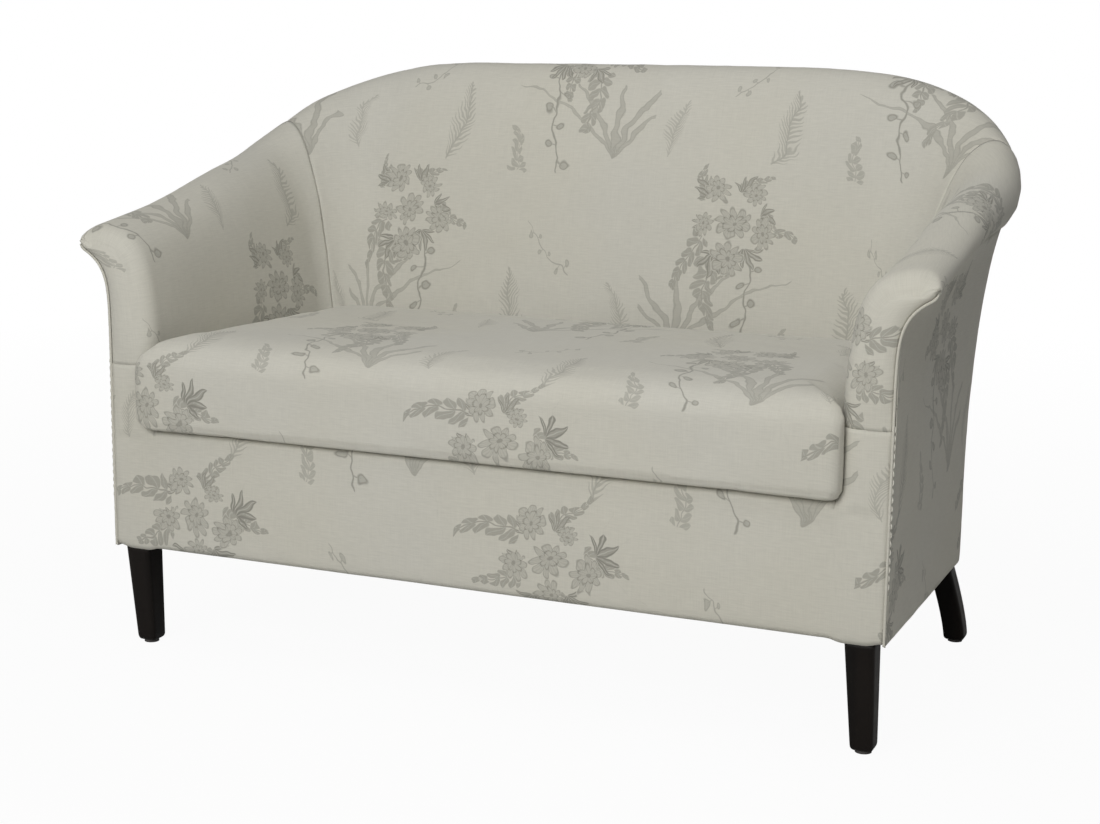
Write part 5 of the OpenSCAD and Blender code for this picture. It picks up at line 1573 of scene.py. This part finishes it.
def moulded(name, colour, rough):
    """Moulded plastic: a fine grain in the bump, wear in its colour and roughness."""
    material, tree, shader = new_material(name)
    places = tree.nodes.new("ShaderNodeTexCoord")
    grain = noise(tree, places.outputs["Object"], 1600.0, 2.0)
    wear = noise(tree, places.outputs["Object"], 60.0, 3.0)
    tree.links.new(blended(tree, wear, colour, tuple(c * 1.3 + 0.01 for c in colour)).socket,
                   shader.inputs["Base Color"])
    tree.links.new(((wear - 0.5) * 0.2 + rough).socket, shader.inputs["Roughness"])
    bump(tree, shader, grain, 0.2, 0.0002)
    return material


spring_steel = steel("spring_steel", (0.30, 0.29, 0.28), 0.38, 500.0)
zinc_steel = steel("zinc_steel", (0.55, 0.55, 0.54), 0.33, 700.0)
glide_plastic = moulded("glide_plastic", (0.035, 0.03, 0.028), 0.5)
zip_tape = plain_cloth("zip_tape", (0.45, 0.43, 0.36), 0.85, 1500.0, 0.0004)
FINISHES = {
    beech: ["front_seat_rail", "back_seat_rail", "side_seat_rail_left", "side_seat_rail_right",
            "seat_stretcher", "corner_braces", "arm_rail_left", "arm_rail_right", "crest_rail"],
    plywood: ["corner_rail_left", "corner_rail_right", "front_post_left", "front_post_right",
              "arm_rib_left", "arm_rib_right", "corner_rib_left", "corner_rib_right", "back_rib_left",
              "back_rib_centre", "back_rib_right", "arm_board_left", "arm_board_right", "back_board"],
    spring_steel: ["seat_springs", "spring_clips"],
    zinc_steel: ["leg_bolts", "leg_inserts", "zip_slider"],
    glide_plastic: ["glides"],
    zip_tape: ["cushion_zip"],
}
for finish, names in FINISHES.items():
    for name in names:
        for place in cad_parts[name].material_slots:
            place.material = finish
print(sum(len(names) for names in FINISHES.values()), "CAD nodes have their finish")

# %% [markdown]
# ## Floor and light
# A pale studio floor, a large soft lamp in front and weaker ones overhead and behind, which leave
# the outside arms in shade, and a world that only the camera and reflections see as white.

# %% Stage
WORLD_LIGHT = 0.14
FLOOR_HALF = 14.0


def studio_floor():
    """Pale floor that glows nearly white to the camera, all of it far from the middle, and still
    takes the object's shadow near it."""
    material, tree, shader = new_material("studio_floor")
    shader.inputs["Base Color"].default_value = (0.72, 0.72, 0.71, 1)
    shader.inputs["Roughness"].default_value = 0.9
    path = tree.nodes.new("ShaderNodeLightPath")
    glow = tree.nodes.new("ShaderNodeEmission")
    glow.inputs["Strength"].default_value = 1.0
    both = tree.nodes.new("ShaderNodeMixShader")
    spot = tree.nodes.new("ShaderNodeTexCoord")
    reach = tree.nodes.new("ShaderNodeVectorMath")
    reach.operation = "LENGTH"
    tree.links.new(spot.outputs["Object"], reach.inputs[0])
    far = (Field(tree, reach.outputs["Value"]) * 0.35 - 0.3).least(1.0).most(0.0)
    seen = Field(tree, path.outputs["Is Camera Ray"]) * (far * 0.05 + 0.95)
    tree.links.new(seen.socket, both.inputs["Fac"])
    tree.links.new(shader.outputs[0], both.inputs[1])
    tree.links.new(glow.outputs[0], both.inputs[2])
    tree.links.new(both.outputs[0], tree.nodes["Material Output"].inputs["Surface"])
    mesh = bpy.data.meshes.new("floor")
    corners = [(x * FLOOR_HALF, y * FLOOR_HALF, 0) for x, y in ((-1, -1), (1, -1), (1, 1), (-1, 1))]
    mesh.from_pydata(corners, [], [(0, 1, 2, 3)])
    mesh.materials.append(material)
    floor = bpy.data.objects.new("floor", mesh)
    bpy.context.scene.collection.objects.link(floor)


def area_lamp(name, place, aim, size, power):
    """Rectangular lamp of a size in metres and a power in watts, turned to its aim."""
    data = bpy.data.lights.new(name, "AREA")
    data.shape, data.size, data.size_y, data.energy = "RECTANGLE", size[0], size[1], power
    lamp = bpy.data.objects.new(name, data)
    bpy.context.scene.collection.objects.link(lamp)
    away = np.array(place) - np.array(aim)
    away = away / np.linalg.norm(away)
    right = np.cross([0, 0, 1], away)
    right = right / np.linalg.norm(right)
    lamp.matrix_world = placed_matrix([right, np.cross(away, right), away], place)


def studio_world():
    """World that is white to the camera and in reflections, and a weak light on the object."""
    world = bpy.data.worlds.new("studio")
    bpy.context.scene.world = world
    world.use_nodes = True
    tree = world.node_tree
    back = tree.nodes["Background"]
    back.inputs["Color"].default_value = (1, 1, 1, 1)
    path = tree.nodes.new("ShaderNodeLightPath")
    seen = Field(tree, path.outputs["Is Camera Ray"]).most(Field(tree, path.outputs["Is Glossy Ray"]))
    seen = seen.most(Field(tree, path.outputs["Is Transmission Ray"]))
    tree.links.new((seen * (1.0 - WORLD_LIGHT) + WORLD_LIGHT).socket, back.inputs["Strength"])


studio_floor()
studio_world()
area_lamp("key_front", (0.1, -3.7, 2.3), (0, 0, 0.4), (2.8, 1.9), 91)
area_lamp("soft_overhead", (0.35, -0.9, 2.6), (-0.1, 0, 0.4), (1.6, 1.4), 15)
area_lamp("fill_rear", (-0.9, 3.4, 1.1), (-0.1, 0, 0.4), (2.6, 1.4), 26)
print("lamps", [lamp.name for lamp in bpy.data.lights])
bpy.context.scene.view_settings.view_transform = "Standard"
